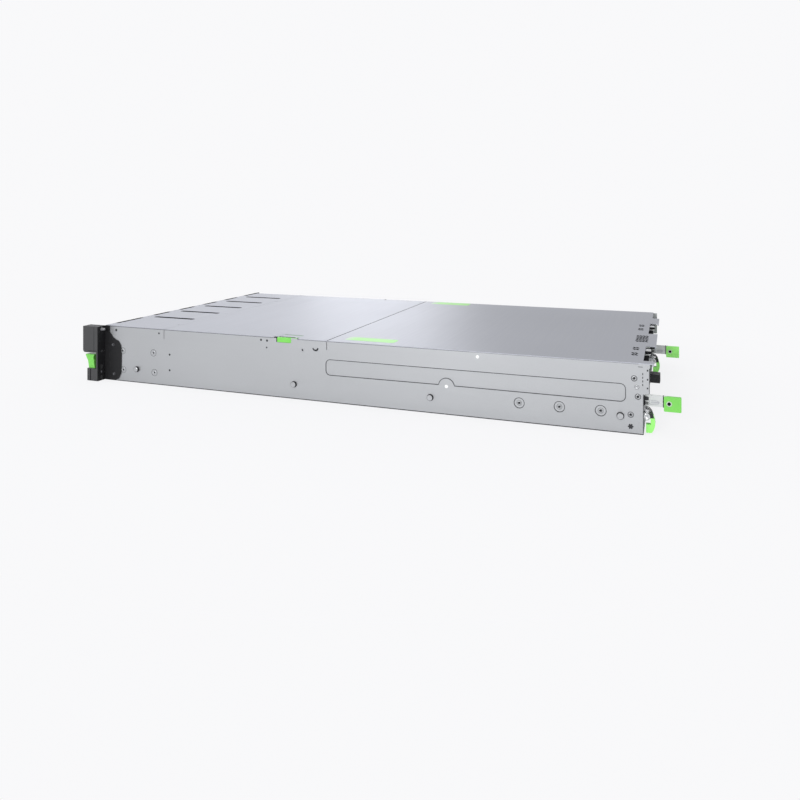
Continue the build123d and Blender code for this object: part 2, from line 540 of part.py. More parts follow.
# Tray panel: the tray's rear wall with its openings, and the lugs and pins of the two cam levers
with BuildPart() as tray_panel:
    block(TRAY_X, (TRAY_REAR_Y - SHEET, TRAY_REAR_Y), (TRAY_Z + SHEET, TRAY_BACK_H))
    for x in HANDLE_X:
        clear = LEVER_W / 2 + FIT
        block((x - clear, x + clear), (TRAY_REAR_Y - SHEET, TRAY_REAR_Y), LEVER_WINDOW, Mode.SUBTRACT)
        for lug_x in (x - clear - LUG_T, x + clear):
            lug_z = (PIVOT_Z - HUB_RAD, PIVOT_Z + HUB_RAD)
            block((lug_x, lug_x + LUG_T), (TRAY_REAR_Y, PIVOT_Y), lug_z)
            side_disc(lug_x, PIVOT_Y, PIVOT_Z, HUB_RAD, LUG_T)
        side_disc(x - clear, PIVOT_Y, PIVOT_Z, PIVOT_PIN_R, 2 * clear)
    for x in NOTCH_X:
        for row in (0, 1):
            low = CARD_Z + row * CARD_PITCH
            open_x = (x[0] + 6, x[1] - 6)
            block(open_x, (TRAY_REAR_Y - SHEET, TRAY_REAR_Y), (low, low + CARD_OPEN), Mode.SUBTRACT)
    for x in PORTS:
        block(x, (TRAY_REAR_Y - SHEET, TRAY_REAR_Y), PORT_Z, Mode.SUBTRACT)
    block(
        (MODULE_X[0] - FIT, MODULE_X[1] + FIT),
        (TRAY_REAR_Y - SHEET, TRAY_REAR_Y),
        (MODULE_Z[0] - FIT, MODULE_Z[1] + FIT),
        Mode.SUBTRACT,
    )
    with BuildSketch(Plane.XZ.offset(-TRAY_REAR_Y)):
        with Locations((NEAR_NOTCH_X + 52, 24), (FAR_NOTCH_X + 12, 24)):
            with GridLocations(VENT_PITCH, VENT_PITCH, 7, 4):
                Circle(VENT_R)
    extrude(amount=SHEET, mode=Mode.SUBTRACT)
tray_panel.part.label = "tray_panel"
export_step(tray_panel.part, "parts/tray_panel.step")

# Motherboard with processor sockets and memory sockets
CPU_X = (TRAY_X[0] + 87.2, TRAY_X[1] - 102.5)
CPU_Y = TRAY_FRONT_Y + 115.0
CPU_SIZE = 62.0
DIMM_LEN = 133.0
DIMM_H = 31.0
DIMM_T = 4.0
DIMM_PITCH = 9.0
DIMM_MOST = 4  # memory modules on each side of a processor
DIMM_ROOM = CPU_X[1] - CPU_X[0] - CPU_SIZE - 38
DIMM_PER_SIDE = min(DIMM_MOST, int(DIMM_ROOM / (2 * DIMM_PITCH)))
MB_T = 1.6
MB_TOP = BOARD_Z + MB_T
dimm_off = [CPU_SIZE / 2 + 10 + n * DIMM_PITCH for n in range(DIMM_PER_SIDE)]
dimm_x = [x + side * off for x in CPU_X for side in (-1, 1) for off in dimm_off]
with BuildPart() as motherboard:
    block((TRAY_X[0] + 4, TRAY_X[1] - 4), (TRAY_FRONT_Y + 6, TRAY_REAR_Y - 8), (BOARD_Z, MB_TOP))
    for x in CPU_X:
        block((x - CPU_SIZE / 2 + 4, x + CPU_SIZE / 2 - 4), (CPU_Y - 34, CPU_Y + 34), (MB_TOP, MB_TOP + 5))
    for x in dimm_x:
        block((x - 3, x + 3), (CPU_Y - DIMM_LEN / 2 - 4, CPU_Y + DIMM_LEN / 2 + 4), (MB_TOP, MB_TOP + 5))
    for x in (NOTCH_X[0][0] + RISER_IN, NOTCH_X[1][0] + RISER_IN):
        block((x - 4, x + 4), (RISER_Y[0], RISER_Y[0] + RISER_LEN), (MB_TOP, MB_TOP + 11))
motherboard.part.label = "motherboard"
export_step(motherboard.part, "parts/motherboard.step")

# Heat sinks: a base plate with upright fins on each processor socket
FINS = 15
FIN_T = 1.2
SINK_H = 56.0
with BuildPart() as heatsinks:
    for x in CPU_X:
        block((x - CPU_SIZE / 2, x + CPU_SIZE / 2), (CPU_Y - 45, CPU_Y + 45), (MB_TOP + 5, MB_TOP + 11))
        for n in range(FINS):
            left = x - CPU_SIZE / 2 + n * (CPU_SIZE - FIN_T) / (FINS - 1)
            block((left, left + FIN_T), (CPU_Y - 45, CPU_Y + 45), (MB_TOP + 11, MB_TOP + SINK_H))
heatsinks.part.label = "heatsinks"
export_step(heatsinks.part, "parts/heatsinks.step")

# Memory modules standing in their sockets
with BuildPart() as memory_modules:
    for x in dimm_x:
        dimm_y = (CPU_Y - DIMM_LEN / 2, CPU_Y + DIMM_LEN / 2)
        block((x - DIMM_T / 2, x + DIMM_T / 2), dimm_y, (MB_TOP + 5, MB_TOP + 5 + DIMM_H))
memory_modules.part.label = "memory_modules"
export_step(memory_modules.part, "parts/memory_modules.step")

# Air shroud: a plastic duct over both processors, open at the front and rear
SHROUD_X = (CPU_X[0] - 76, CPU_X[1] + 76)
SHROUD_Y = (TRAY_FRONT_Y + 30.0, RISER_Y[0] - 40.0)
SHROUD_TOP = BODY_H - 7.0
SHROUD_T = 2.0
with BuildPart() as air_shroud:
    block(SHROUD_X, SHROUD_Y, (MB_TOP, SHROUD_TOP))
    inner_x = (SHROUD_X[0] + SHROUD_T, SHROUD_X[1] - SHROUD_T)
    block(inner_x, SHROUD_Y, (MB_TOP, SHROUD_TOP - SHROUD_T), Mode.SUBTRACT)
    middle = (CPU_X[0] + CPU_X[1]) / 2
    block((middle - 1, middle + 1), SHROUD_Y, (MB_TOP, SHROUD_TOP))
air_shroud.part.label = "air_shroud"
export_step(air_shroud.part, "parts/air_shroud.step")

# Riser cages: sheet boxes that hold two cards each, with a raised tab under each notch of the rear cover
with BuildPart() as riser_cages:
    for x in NOTCH_X:
        block(x, RISER_Y, RISER_Z)
        block((x[0] + SHEET, x[1] - SHEET), RISER_Y, (RISER_Z[0], RISER_Z[1] - SHEET), Mode.SUBTRACT)
        block((x[0], x[0] + SHEET), RISER_Y, (MB_TOP, RISER_Z[0]))
        block((x[1] - SHEET, x[1]), RISER_Y, (MB_TOP, RISER_Z[0]))
        block((x[0] + 1, x[0] + 38), (RISER_Y[1] - 12, COVER_END_Y - 6), (RISER_Z[1], RISER_Z[1] + 1.4))
riser_cages.part.label = "riser_cages"
export_step(riser_cages.part, "parts/riser_cages.step")

# Expansion cards: two boards in each riser cage, each with a bracket at the rear panel
with BuildPart() as expansion_cards:
    for x in NOTCH_X:
        riser = x[0] + RISER_IN
        riser_top = RISER_Z[1] - SHEET - 2
        block((riser - 1, riser + 1), (RISER_Y[0], RISER_Y[0] + RISER_LEN), (MB_TOP + 11, riser_top))
        for row in (0, 1):
            low = CARD_Z + 4.5 + row * CARD_PITCH
            block((riser + 1, x[1] - SHEET), (RISER_Y[0] + 5, TRAY_REAR_Y - SHEET), (low, low + MB_T))
            chip_z = (low + MB_T, low + MB_T + CARD_PITCH - 7)
            block((riser + 20, riser + 50), (RISER_Y[0] + 30, RISER_Y[0] + 70), chip_z)
            plate_y = (TRAY_REAR_Y - SHEET - 1, TRAY_REAR_Y - SHEET)
            block((x[0] + 7, x[1] - 7), plate_y, (low - 4, low + CARD_OPEN - 5))
expansion_cards.part.label = "expansion_cards"
export_step(expansion_cards.part, "parts/expansion_cards.step")

# Rear ports: metal connector shells on the motherboard, open to the rear
with BuildPart() as rear_ports:
    for x in PORTS:
        shell = (x[0] + FIT, x[1] - FIT)
        top = PORT_Z[1] - FIT
        block(shell, (TRAY_REAR_Y - 24, TRAY_REAR_Y), (MB_TOP, top))
        block((shell[0] + 1, shell[1] - 1), (TRAY_REAR_Y - 16, TRAY_REAR_Y), (MB_TOP + 1, top - 1), Mode.SUBTRACT)
rear_ports.part.label = "rear_ports"
export_step(rear_ports.part, "parts/rear_ports.step")

# Management module: a metal case in its own opening of the rear panel
GRIP_Y = (BODY_D - 1, BODY_D + 16.2)
GRIP_Z = (29.4, 43.4)
GRIP_X = (MODULE_X[1] - 20, MODULE_X[1])
with BuildPart() as module_case:
    block(MODULE_X, (MODULE_FRONT_Y, BODY_D - 1), MODULE_Z)
module_case.part.label = "module_case"
export_step(module_case.part, "parts/module_case.step")

# Module grip: a black block with a chamfered root that pulls the management module out
with BuildPart() as module_grip:
    with BuildSketch(Plane.YZ.offset(GRIP_X[0])):
        with BuildLine():
            Polyline(
                (GRIP_Y[0], GRIP_Z[0]),
                (GRIP_Y[1], GRIP_Z[0]),
                (GRIP_Y[1], GRIP_Z[1]),
                (GRIP_Y[0] + 6, GRIP_Z[1]),
                (GRIP_Y[0], GRIP_Z[1] - 6),
                close=True,
            )
        make_face()
    extrude(amount=GRIP_X[1] - GRIP_X[0])
module_grip.part.label = "module_grip"
export_step(module_grip.part, "parts/module_grip.step")

# Tray handles, their coloured tabs, and the cam levers below them
GRIP_TOP = (BODY_D + 8.5, 25.0)
GRIP_BULGE = (BODY_D + 13.0, 14.0)
GRIP_END = (BODY_D + 9.0, 1.2)
GRIP_FOOT = (BODY_D + 2.5, 1.2)
for hand, x in zip(("right", "left"), HANDLE_X):
    plate_x = (x - HANDLE_T / 2, x + HANDLE_T / 2)
    with BuildPart() as handle:
        block(plate_x, (TRAY_REAR_Y, HANDLE_END_Y), HANDLE_Z)
        block((x - 6, x + 6), (TRAY_REAR_Y, TRAY_REAR_Y + 1.5), HANDLE_Z)
        with BuildSketch(Plane.YZ.offset(plate_x[0])):
            with Locations((BODY_D + 13, HANDLE_Z[0] + 5)):
                SlotOverall(10, 2.2)
        extrude(amount=HANDLE_T, mode=Mode.SUBTRACT)
    handle.part.label = f"tray_handle_{hand}"
    export_step(handle.part, f"parts/tray_handle_{hand}.step")
    with BuildPart() as tab:
        block((x - TAB_T / 2, x + TAB_T / 2), (TAB_START_Y, TAB_START_Y + TAB_LEN), TAB_Z)
        fillet(tab.edges().filter_by(Axis.X), 1.2)
        block(plate_x, (TAB_START_Y, HANDLE_END_Y), HANDLE_Z, Mode.SUBTRACT)
        side_disc(x - TAB_T / 2, TAB_START_Y + 6, 38, 1.6, TAB_T, Mode.SUBTRACT)
    tab.part.label = f"handle_tab_{hand}"
    export_step(tab.part, f"parts/handle_tab_{hand}.step")
    arm_x = (x - LEVER_T / 2, x + LEVER_T / 2)
    with BuildPart() as lever:
        side_disc(x - LEVER_W / 2, PIVOT_Y, PIVOT_Z, HUB_RAD, LEVER_W)
        block(arm_x, (PIVOT_Y - 2, PIVOT_Y + 2), (PIVOT_Z, PIVOT_Z + 10.5))
        block(arm_x, (PIVOT_Y, GRIP_TOP[0] - 1), (PIVOT_Z - 3, PIVOT_Z + 3))
        side_disc(x - LEVER_W / 2, PIVOT_Y, PIVOT_Z, PIVOT_PIN_R + RUN_FIT, LEVER_W, Mode.SUBTRACT)
    lever.part.label = f"tray_lever_{hand}"
    export_step(lever.part, f"parts/tray_lever_{hand}.step")
    with BuildPart() as grip:
        with BuildSketch(Plane.YZ.offset(x - LEVER_W / 2)):
            with BuildLine():
                ThreePointArc(GRIP_TOP, GRIP_BULGE, GRIP_END)
                Line(GRIP_END, GRIP_FOOT)
                Line(GRIP_FOOT, (GRIP_FOOT[0], GRIP_FOOT[1] + 10))
                Line((GRIP_FOOT[0], GRIP_FOOT[1] + 10), (GRIP_FOOT[0] + 5.5, GRIP_FOOT[1] + 10))
                Line((GRIP_FOOT[0] + 5.5, GRIP_FOOT[1] + 10), (GRIP_TOP[0] - 1, GRIP_TOP[1] - 6))
                Line((GRIP_TOP[0] - 1, GRIP_TOP[1] - 6), GRIP_TOP)
            make_face()
        extrude(amount=LEVER_W)
    grip.part.label = f"lever_grip_{hand}"
    export_step(grip.part, f"parts/lever_grip_{hand}.step")

# Ear brackets: an outline on the side plate and a flange that meets the rack post, with rack holes
BRACKET = (
    (EAR_Z[1], 0),
    (EAR_Z[1], 8.5),
    (EAR_Z[1] - 9.4, 8.5),
    (EAR_Z[1] - 18.4, 15.5),
    (EAR_Z[1] - 21.8, 21.4),
    (EAR_Z[1] - 23.4, 26.4),
    (EAR_Z[1] - 29.4, 30.3),
    (EAR_Z[1] - 38.4, 32),
    (12.4, 31.3),
    (3.3, 26.4),
    (EAR_Z[0], 18.4),
    (EAR_Z[0], 0),
)
LATCH_WINDOW_Z = (16.0, 26.0)
for hand, side in (("right", 1), ("left", -1)):
    with BuildPart() as bracket:
        with BuildSketch(Plane.YZ.offset(side * BODY_W / 2)):
            with BuildLine():
                Polyline(*[(y, z) for z, y in BRACKET], close=True)
            make_face()
        extrude(amount=side * SHEET)
        flange_x = sorted((side * BODY_W / 2, side * EAR_OUT))
        block(flange_x, (-SHEET, 0), EAR_Z)
        for z in RACK_HOLE_Z:
            rear_disc(side * RACK_HOLE_X, -SHEET, z, RACK_HOLE_R, SHEET, Mode.SUBTRACT)
        window_x = (side * RACK_HOLE_X - 3, side * RACK_HOLE_X + 3)
        block(window_x, (-SHEET, 0), LATCH_WINDOW_Z, Mode.SUBTRACT)
    bracket.part.label = f"ear_bracket_{hand}"
    export_step(bracket.part, f"parts/ear_bracket_{hand}.step")

# Ear covers: a deep block above, a low housing below for the rack latch, and a thin back that joins them
BUTTON_R = 4.0
BUTTON_FIT = 0.2
BUTTON_OUT = 0.8
BUTTON_BORE = 9.0
BUTTON_LEN = 5.0
BUTTON_Z = (BLOCK_TOP["left"] - 8.0, BLOCK_TOP["left"] - 21.0)
USB_W = 6.0
USB_H = 13.2
USB_DEEP = 14.0
USB_Z = EAR_Z[1] - 20.4
EAR_IN = BODY_W / 2 + EAR_GAP
LATCH_TOP = BLOCK_Z - 4.0
ear_mid = (EAR_IN + EAR_OUT) / 2
for hand, side in (("right", 1), ("left", -1)):
    mid = side * ear_mid
    full = sorted((side * EAR_IN, side * EAR_OUT))
    with BuildPart() as cover:
        block(full, (BLOCK_Y, -SHEET), (BLOCK_Z, BLOCK_TOP[hand]))
        fillet(cover.edges().filter_by(Axis.X).group_by(Axis.Y)[0].sort_by(Axis.Z)[0], 4)
        block(full, (-SHEET - EAR_WALL, -SHEET), EAR_Z)
        block(full, (HOUSING_Y, -SHEET), (EAR_Z[0], HOUSING_Z))
        block(
            (mid - LATCH_W / 2 - FIT, mid + LATCH_W / 2 + FIT),
            (HOUSING_Y, -SHEET - EAR_WALL),
            (EAR_Z[0] + 1.4, HOUSING_Z),
            Mode.SUBTRACT,
        )
        block(
            (mid - LATCH_W / 2 - 1, mid + LATCH_W / 2 + 1),
            (EAR_PIVOT[0] - HINGE_R * 0.7, EAR_PIVOT[0] + HINGE_R * 0.7),
            (EAR_PIVOT[1] - HINGE_R * 0.7, EAR_PIVOT[1] + HINGE_R * 0.7),
        )
        side_disc(mid - LATCH_W / 2 - 1, *EAR_PIVOT, HINGE_R, LATCH_W + 2)
        if hand == "left":
            for z in BUTTON_Z:
                rear_disc(mid, BLOCK_Y, z, BUTTON_R + BUTTON_FIT, BUTTON_BORE, Mode.SUBTRACT)
        else:
            usb_z = (USB_Z - USB_H / 2, USB_Z + USB_H / 2)
            block((mid - USB_W / 2, mid + USB_W / 2), (BLOCK_Y, BLOCK_Y + USB_DEEP), usb_z, Mode.SUBTRACT)
    cover.part.label = f"ear_cover_{hand}"
    export_step(cover.part, f"parts/ear_cover_{hand}.step")
    with BuildPart() as rack_latch:
        with BuildSketch(Plane.YZ.offset(mid - LATCH_W / 2)):
            with BuildLine():
                Polyline(
                    (-28, LATCH_TOP),
                    (-26.5, LATCH_TOP - 3.5),
                    (-23, LATCH_TOP - 10),
                    (-21, HOUSING_Z),
                    (-18.5, 4.5),
                    (-9.5, 4.5),
                    (-9.5, HOUSING_Z),
                    (-12.5, LATCH_TOP - 3.5),
                    (-10.5, LATCH_TOP),
                    close=True,
                )
            make_face()
            with Locations(EAR_PIVOT):
                Circle(HINGE_R + RUN_FIT, mode=Mode.SUBTRACT)
        extrude(amount=LATCH_W)
    rack_latch.part.label = f"rack_latch_{hand}"
    export_step(rack_latch.part, f"parts/rack_latch_{hand}.step")

# Front buttons on the left ear
for name, z in zip(("power_button", "id_button"), BUTTON_Z):
    with BuildPart() as button:
        rear_disc(-ear_mid, BLOCK_Y - BUTTON_OUT, z, BUTTON_R, BUTTON_LEN + BUTTON_OUT)
    button.part.label = name
    export_step(button.part, f"parts/{name}.step")

# Rack screws: captive screws in the upper rack hole of each ear, with their tips behind the flange
RACK_SCREW_R = 2.4
RACK_SCREW_OUT = 6.0
with BuildPart() as rack_screws:
    for side in (1, -1):
        rear_disc(side * RACK_HOLE_X, -SHEET, RACK_HOLE_Z[1], RACK_HOLE_R, SHEET)
        rear_disc(side * RACK_HOLE_X, 0, RACK_HOLE_Z[1], RACK_SCREW_R, RACK_SCREW_OUT)
rack_screws.part.label = "rack_screws"
export_step(rack_screws.part, "parts/rack_screws.step")
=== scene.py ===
from math import cos, pi, radians, sin, sqrt, tau

import bmesh
import bpy
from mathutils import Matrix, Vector


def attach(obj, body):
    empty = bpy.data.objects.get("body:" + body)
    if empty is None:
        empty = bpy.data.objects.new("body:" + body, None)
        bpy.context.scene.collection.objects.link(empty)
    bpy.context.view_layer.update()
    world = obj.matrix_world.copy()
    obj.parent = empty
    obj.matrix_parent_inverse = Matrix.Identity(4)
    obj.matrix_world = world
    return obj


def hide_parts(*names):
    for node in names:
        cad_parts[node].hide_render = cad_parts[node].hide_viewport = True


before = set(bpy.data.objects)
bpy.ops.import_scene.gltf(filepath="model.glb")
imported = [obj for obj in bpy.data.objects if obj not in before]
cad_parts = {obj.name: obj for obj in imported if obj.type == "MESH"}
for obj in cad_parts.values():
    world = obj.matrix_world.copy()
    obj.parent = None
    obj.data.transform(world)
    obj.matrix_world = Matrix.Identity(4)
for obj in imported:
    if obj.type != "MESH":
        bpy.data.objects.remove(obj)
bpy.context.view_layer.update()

# The photograph's view: a level camera beside the rear right corner of the server.
# The lens and the upward shift of the film put the server in the upper half of the frame.
camera_data = bpy.data.cameras.new("photo_camera")
camera_data.sensor_width = 36.0
camera_data.lens = 33.0
camera_data.shift_y = -0.2446
camera_data.clip_end = 60.0
camera = bpy.data.objects.new("photo_camera", camera_data)
camera.location = (1.1609, 0.8507, 0.2801)
camera.rotation_euler = (radians(90), 0, radians(110.379))
bpy.context.scene.collection.objects.link(camera)
bpy.context.scene.camera = camera
bpy.context.scene.view_settings.view_transform = "Standard"


# Studio table: a pale floor that keeps the server's soft contact shadow.
# Away from the server it takes the tone of the air behind it, so no horizon shows.
def new_material(name):
    """A material with its node tree and its surface shader."""
    material = bpy.data.materials.new(name)
    material.use_nodes = True
    tree = material.node_tree
    shader = next(node for node in tree.nodes if node.type == "BSDF_PRINCIPLED")
    return material, tree, shader


def settle(node, **socket_shade):
    """Gives sockets of a node their plain values; an underscore stands for a space in a socket's name."""
    for socket, value in socket_shade.items():
        node.inputs[socket.replace("_", " ")].default_value = value
    return node


def add_node(tree, kind, **socket_shade):
    """A new shader node with its plain values."""
    return settle(tree.nodes.new("ShaderNode" + kind), **socket_shade)


def wire(tree, *wires):
    """Links nodes: each wire is a node, its output, the next node and its input."""
    for source, output, target, socket in wires:
        tree.links.new(source.outputs[output], target.inputs[socket])


backdrop_tone = (0.945, 0.945, 0.957, 1)
table_half = 14.0
table_drop = -0.0003
table_mesh = bpy.data.meshes.new("studio_table")
table_corners = ((-1, -1), (1, -1), (1, 1), (-1, 1))
table_mesh.from_pydata([(x * table_half, y * table_half, table_drop) for x, y in table_corners], [], [(0, 1, 2, 3)])
table = bpy.data.objects.new("studio_table", table_mesh)
bpy.context.scene.collection.objects.link(table)
table_paint, tree, shader = new_material("table_paint")
settle(shader, Base_Color=(0.84, 0.845, 0.86, 1), Roughness=1.0, Specular_IOR_Level=0.0)
glow = add_node(tree, "Emission", Color=backdrop_tone, Strength=1.0)
spot = add_node(tree, "NewGeometry")
reach = add_node(tree, "VectorMath")
reach.operation = "DISTANCE"
reach.inputs[1].default_value = (0.0, 0.42, 0.0)
fade = add_node(tree, "MapRange", From_Min=0.25, From_Max=0.75, To_Min=0.8)
fade.interpolation_type = "SMOOTHSTEP"
path = add_node(tree, "LightPath")
share = add_node(tree, "Math")
share.operation = "MULTIPLY"
mix = add_node(tree, "MixShader")
output = next(node for node in tree.nodes if node.type == "OUTPUT_MATERIAL")
wire(
    tree, (spot, "Position", reach, 0), (reach, "Value", fade, "Value"), (fade, "Result", share, 0),
    (path, "Is Camera Ray", share, 1), (share, 0, mix, "Fac"), (shader, 0, mix, 1), (glow, 0, mix, 2),
    (mix, 0, output, "Surface"),
)
table_mesh.materials.append(table_paint)

# Air: the same tone behind the server for the camera, and a plainer level as the light on it.
air = bpy.data.worlds.new("studio_air")
bpy.context.scene.world = air
air.use_nodes = True
tree = air.node_tree
backdrop = next(node for node in tree.nodes if node.type == "BACKGROUND")
backdrop.inputs["Color"].default_value = backdrop_tone
sight = add_node(tree, "LightPath")
direct = add_node(tree, "Math")
direct.operation = "MAXIMUM"
level = add_node(tree, "MapRange", To_Min=0.66)
wire(
    tree, (sight, "Is Camera Ray", direct, 0), (sight, "Is Transmission Ray", direct, 1),
    (direct, 0, level, "Value"), (level, "Result", backdrop, "Strength"),
)


# Lamps: soft boxes overhead, beside the camera and at the rear, and two low ones behind the far side.
# The low ones lay the pale streak along the covers that the photograph shows.
def soft_box(name, place, aim, width, height, power, tint=(1, 1, 1)):
    """A flat lamp at a place, turned to its aim."""
    lamp_data = bpy.data.lights.new(name, "AREA")
    lamp_data.shape = "RECTANGLE"
    lamp_data.size = width
    lamp_data.size_y = height
    lamp_data.energy = power
    lamp_data.color = tint
    lamp = bpy.data.objects.new(name, lamp_data)
    lamp.location = place
    lamp.rotation_euler = (Vector(aim) - Vector(place)).to_track_quat("-Z", "Y").to_euler()
    bpy.context.scene.collection.objects.link(lamp)


soft_box("lamp_over", (0.3, 0.5, 2.6), (0, 0.4, 0), 2.4, 2.4, 24)
soft_box("lamp_side", (2.5, 0.16, 0.85), (0.2, 0.5, 0.05), 0.4, 0.6, 25)
soft_box("lamp_rear", (1.5, 2.3, 0.45), (0, 0.84, 0.04), 0.6, 0.5, 3.5)
soft_box("lamp_far", (-2.43, -1.33, 0.8), (0, 0.1, 0.08), 1.9, 0.8, 5.2, (0.94, 0.95, 1.0))
soft_box("lamp_streak", (-2.74, -0.68, 0.75), (0, 0.3, 0.08), 0.85, 0.7, 2.7, (0.95, 0.96, 1.0))

# Side plates and floor: one folded tray of zinc-coated steel sheet, with inner rails under the covers.
# Each side has a long shallow pressed recess with a dark line of painted shade along its fold, three pressed seats
# ringed with painted shade, and dark lines of painted shade along its top and bottom edges.
mm = 0.001
case_half = 224.0
rough_spread = 0.07


def blend(tree, low, high):
    """A node that mixes two tones."""
    node = tree.nodes.new("ShaderNodeMix")
    node.data_type = "RGBA"
    return settle(node, A=(*low, 1), B=(*high, 1))


def coated_sheet(name, color, roughness, metallic=0.8, grain=(240.0, 5.0, 240.0)):
    """Satin sheet metal with fine streaks along its rolling direction and slow clouds of tone."""
    material, tree, shader = new_material(name)
    settle(shader, Metallic=metallic)
    place = add_node(tree, "TexCoord")
    stretch = add_node(tree, "Mapping", Scale=grain)
    streaks = add_node(tree, "TexNoise", Scale=1.0, Detail=5.0)
    clouds = add_node(tree, "TexNoise", Scale=4.0, Detail=3.0)
    tone = blend(tree, [c * 0.93 for c in color], [min(1, c * 1.07) for c in color])
    rough = add_node(tree, "MapRange", To_Min=roughness - rough_spread, To_Max=roughness + rough_spread)
    bump = add_node(tree, "Bump", Strength=0.10, Distance=0.0002)
    wire(
        tree, (place, "Object", stretch, "Vector"), (stretch, "Vector", streaks, "Vector"),
        (place, "Object", clouds, "Vector"), (clouds, "Fac", tone, "Factor"),
        (tone, "Result", shader, "Base Color"),
        (streaks, "Fac", rough, "Value"), (rough, "Result", shader, "Roughness"),
        (streaks, "Fac", bump, "Height"), (bump, "Normal", shader, "Normal"),
    )
    return material


def moulded(name, color, roughness=0.5, speck=2200.0, depth=0.00012, shine=0.5):
    """Grained plastic or paint with small changes of tone where it is handled."""
    material, tree, shader = new_material(name)
    settle(shader, Specular_IOR_Level=shine)
    place = add_node(tree, "TexCoord")
    grain = add_node(tree, "TexNoise", Scale=speck, Detail=3.0)
    wear = add_node(tree, "TexNoise", Scale=38.0, Detail=4.0)
    tone = blend(tree, [c * 0.90 for c in color], [min(1, c * 1.10 + 0.002) for c in color])
    rough = add_node(tree, "MapRange", To_Min=roughness - rough_spread, To_Max=roughness + rough_spread)
    bump = add_node(tree, "Bump", Strength=0.35, Distance=depth)
    wire(
        tree, (place, "Object", grain, "Vector"), (place, "Object", wear, "Vector"),
        (wear, "Fac", tone, "Factor"), (tone, "Result", shader, "Base Color"),
        (wear, "Fac", rough, "Value"), (rough, "Result", shader, "Roughness"),
        (grain, "Fac", bump, "Height"), (bump, "Normal", shader, "Normal"),
    )
    return material


def dress(material, *names):
    """Gives the model's own solids their finish."""
    for name in names:
        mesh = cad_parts[name].data
        mesh.materials.clear()
        mesh.materials.append(material)


def new_piece(name, bm, body, material, smooth=False, stands_for=None):
    """Turns a mesh in progress into an object that rides on a body, in place of a plain solid if one is named."""
    bmesh.ops.recalc_face_normals(bm, faces=bm.faces)
    mesh = bpy.data.meshes.new(name)
    bm.to_mesh(mesh)
    bm.free()
    mesh.materials.append(material)
    for face in mesh.polygons:
        face.use_smooth = smooth
    piece = bpy.data.objects.new(name, mesh)
    bpy.context.scene.collection.objects.link(piece)
    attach(piece, body)
    if stands_for:
        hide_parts(stands_for)


def slab(bm, x, y, z, edge=0.0):
    """A block from three pairs of limits in millimetres, with its edges rounded if asked."""
    made = bmesh.ops.create_cube(bm, size=1.0)["verts"]
    for vert in made:
        vert.co = [((low + high) / 2 + co * abs(high - low)) * mm for co, (low, high) in zip(vert.co, (x, y, z))]
    if edge:
        edges = {line for vert in made for line in vert.link_edges}
        bmesh.ops.bevel(bm, geom=list(edges), offset=edge * mm, segments=2, profile=0.5, affect="EDGES")


def turned(bm, profile, foot, along, sides=28, closed=False):
    """A lathe-turned form: (radius, height, lobe depth) in millimetres from a foot point along an axis."""
    spin = Vector(along).to_track_quat("Z", "Y").to_matrix()
    foot = Vector(foot)
    rings = []
    for radius, height, *lobes in profile:
        lobe = lobes[0] if lobes else 0.0
        count = sides if radius else 1
        ring = []
        for step in range(count):
            turn = tau * step / count
            reach = radius * (1 + lobe * cos(6 * turn))
            point = Vector((reach * cos(turn), reach * sin(turn), height))
            ring.append(bm.verts.new((foot + spin @ point) * mm))
        rings.append(ring)
    pairs = list(zip(rings, rings[1:]))
    if closed:
        pairs.append((rings[-1], rings[0]))
    for low, high in pairs:
        for step in range(sides):
            corners = [low[step % len(low)], low[(step + 1) % len(low)]]
            corners += [high[(step + 1) % len(high)], high[step % len(high)]]
            corners = list(dict.fromkeys(corners))
            if len(corners) > 2:
                bm.faces.new(corners)


def ring_line(bm, foot, along, radius, width, height=0.06):
    """A thin round line that stands just proud of a surface."""
    inner, outer = radius - width / 2, radius + width / 2
    turned(bm, [(inner, 0), (inner, height), (outer, height), (outer, 0)], foot, along, 40, True)


def side_band(bm, points, face_x, low, high, width):
    """A closed bar along points (y, z) of a side plate, between two heights over the plate."""
    count = len(points)
    loops = [[], [], [], []]
    for i, (y, z) in enumerate(points):
        before, after = points[i - 1], points[(i + 1) % count]
        along = Vector((after[0] - before[0], after[1] - before[1])).normalized()
        across = (-along[1] * width / 2, along[0] * width / 2)
        for loop, sign, x in zip(loops, (1, 1, -1, -1), (low, high, high, low)):
            place = (face_x[0] + face_x[1] * x, y + sign * across[0], z + sign * across[1])
            loop.append(bm.verts.new(Vector(place) * mm))
    for i in range(count):
        j = (i + 1) % count
        for a, b in ((0, 1), (1, 2), (2, 3), (3, 0)):
            bm.faces.new((loops[a][i], loops[a][j], loops[b][j], loops[b][i]))


def arc(middle, reach, angles):
    """Points at angles in degrees around a middle, with a reach along each of the two axes."""
    turns = [radians(angle) for angle in angles]
    return [(middle[0] + reach[0] * cos(turn), middle[1] + reach[1] * sin(turn)) for turn in turns]


def rounded_outline(x, y, radius, steps=5):
    """Corner points of a rounded rectangle from its limits."""
    points = []
    for cx, cy, start in (
        (x[1] - radius, y[1] - radius, 0), (x[0] + radius, y[1] - radius, 90),
        (x[0] + radius, y[0] + radius, 180), (x[1] - radius, y[0] + radius, 270),
    ):
        points += arc((cx, cy), (radius, radius), [start + 90 * step / steps for step in range(steps + 1)])
    return points


plate_sheet = coated_sheet("side_plate_sheet", (0.488, 0.498, 0.512), 0.38)
dress(plate_sheet, "chassis_base", "inner_frame")
# This dark colour is painted shade, laid in folds, seams, slits and holes and along edges.
edge_shade = moulded("plate_line_shade", (0.055, 0.056, 0.06), 0.7, shine=0.0)

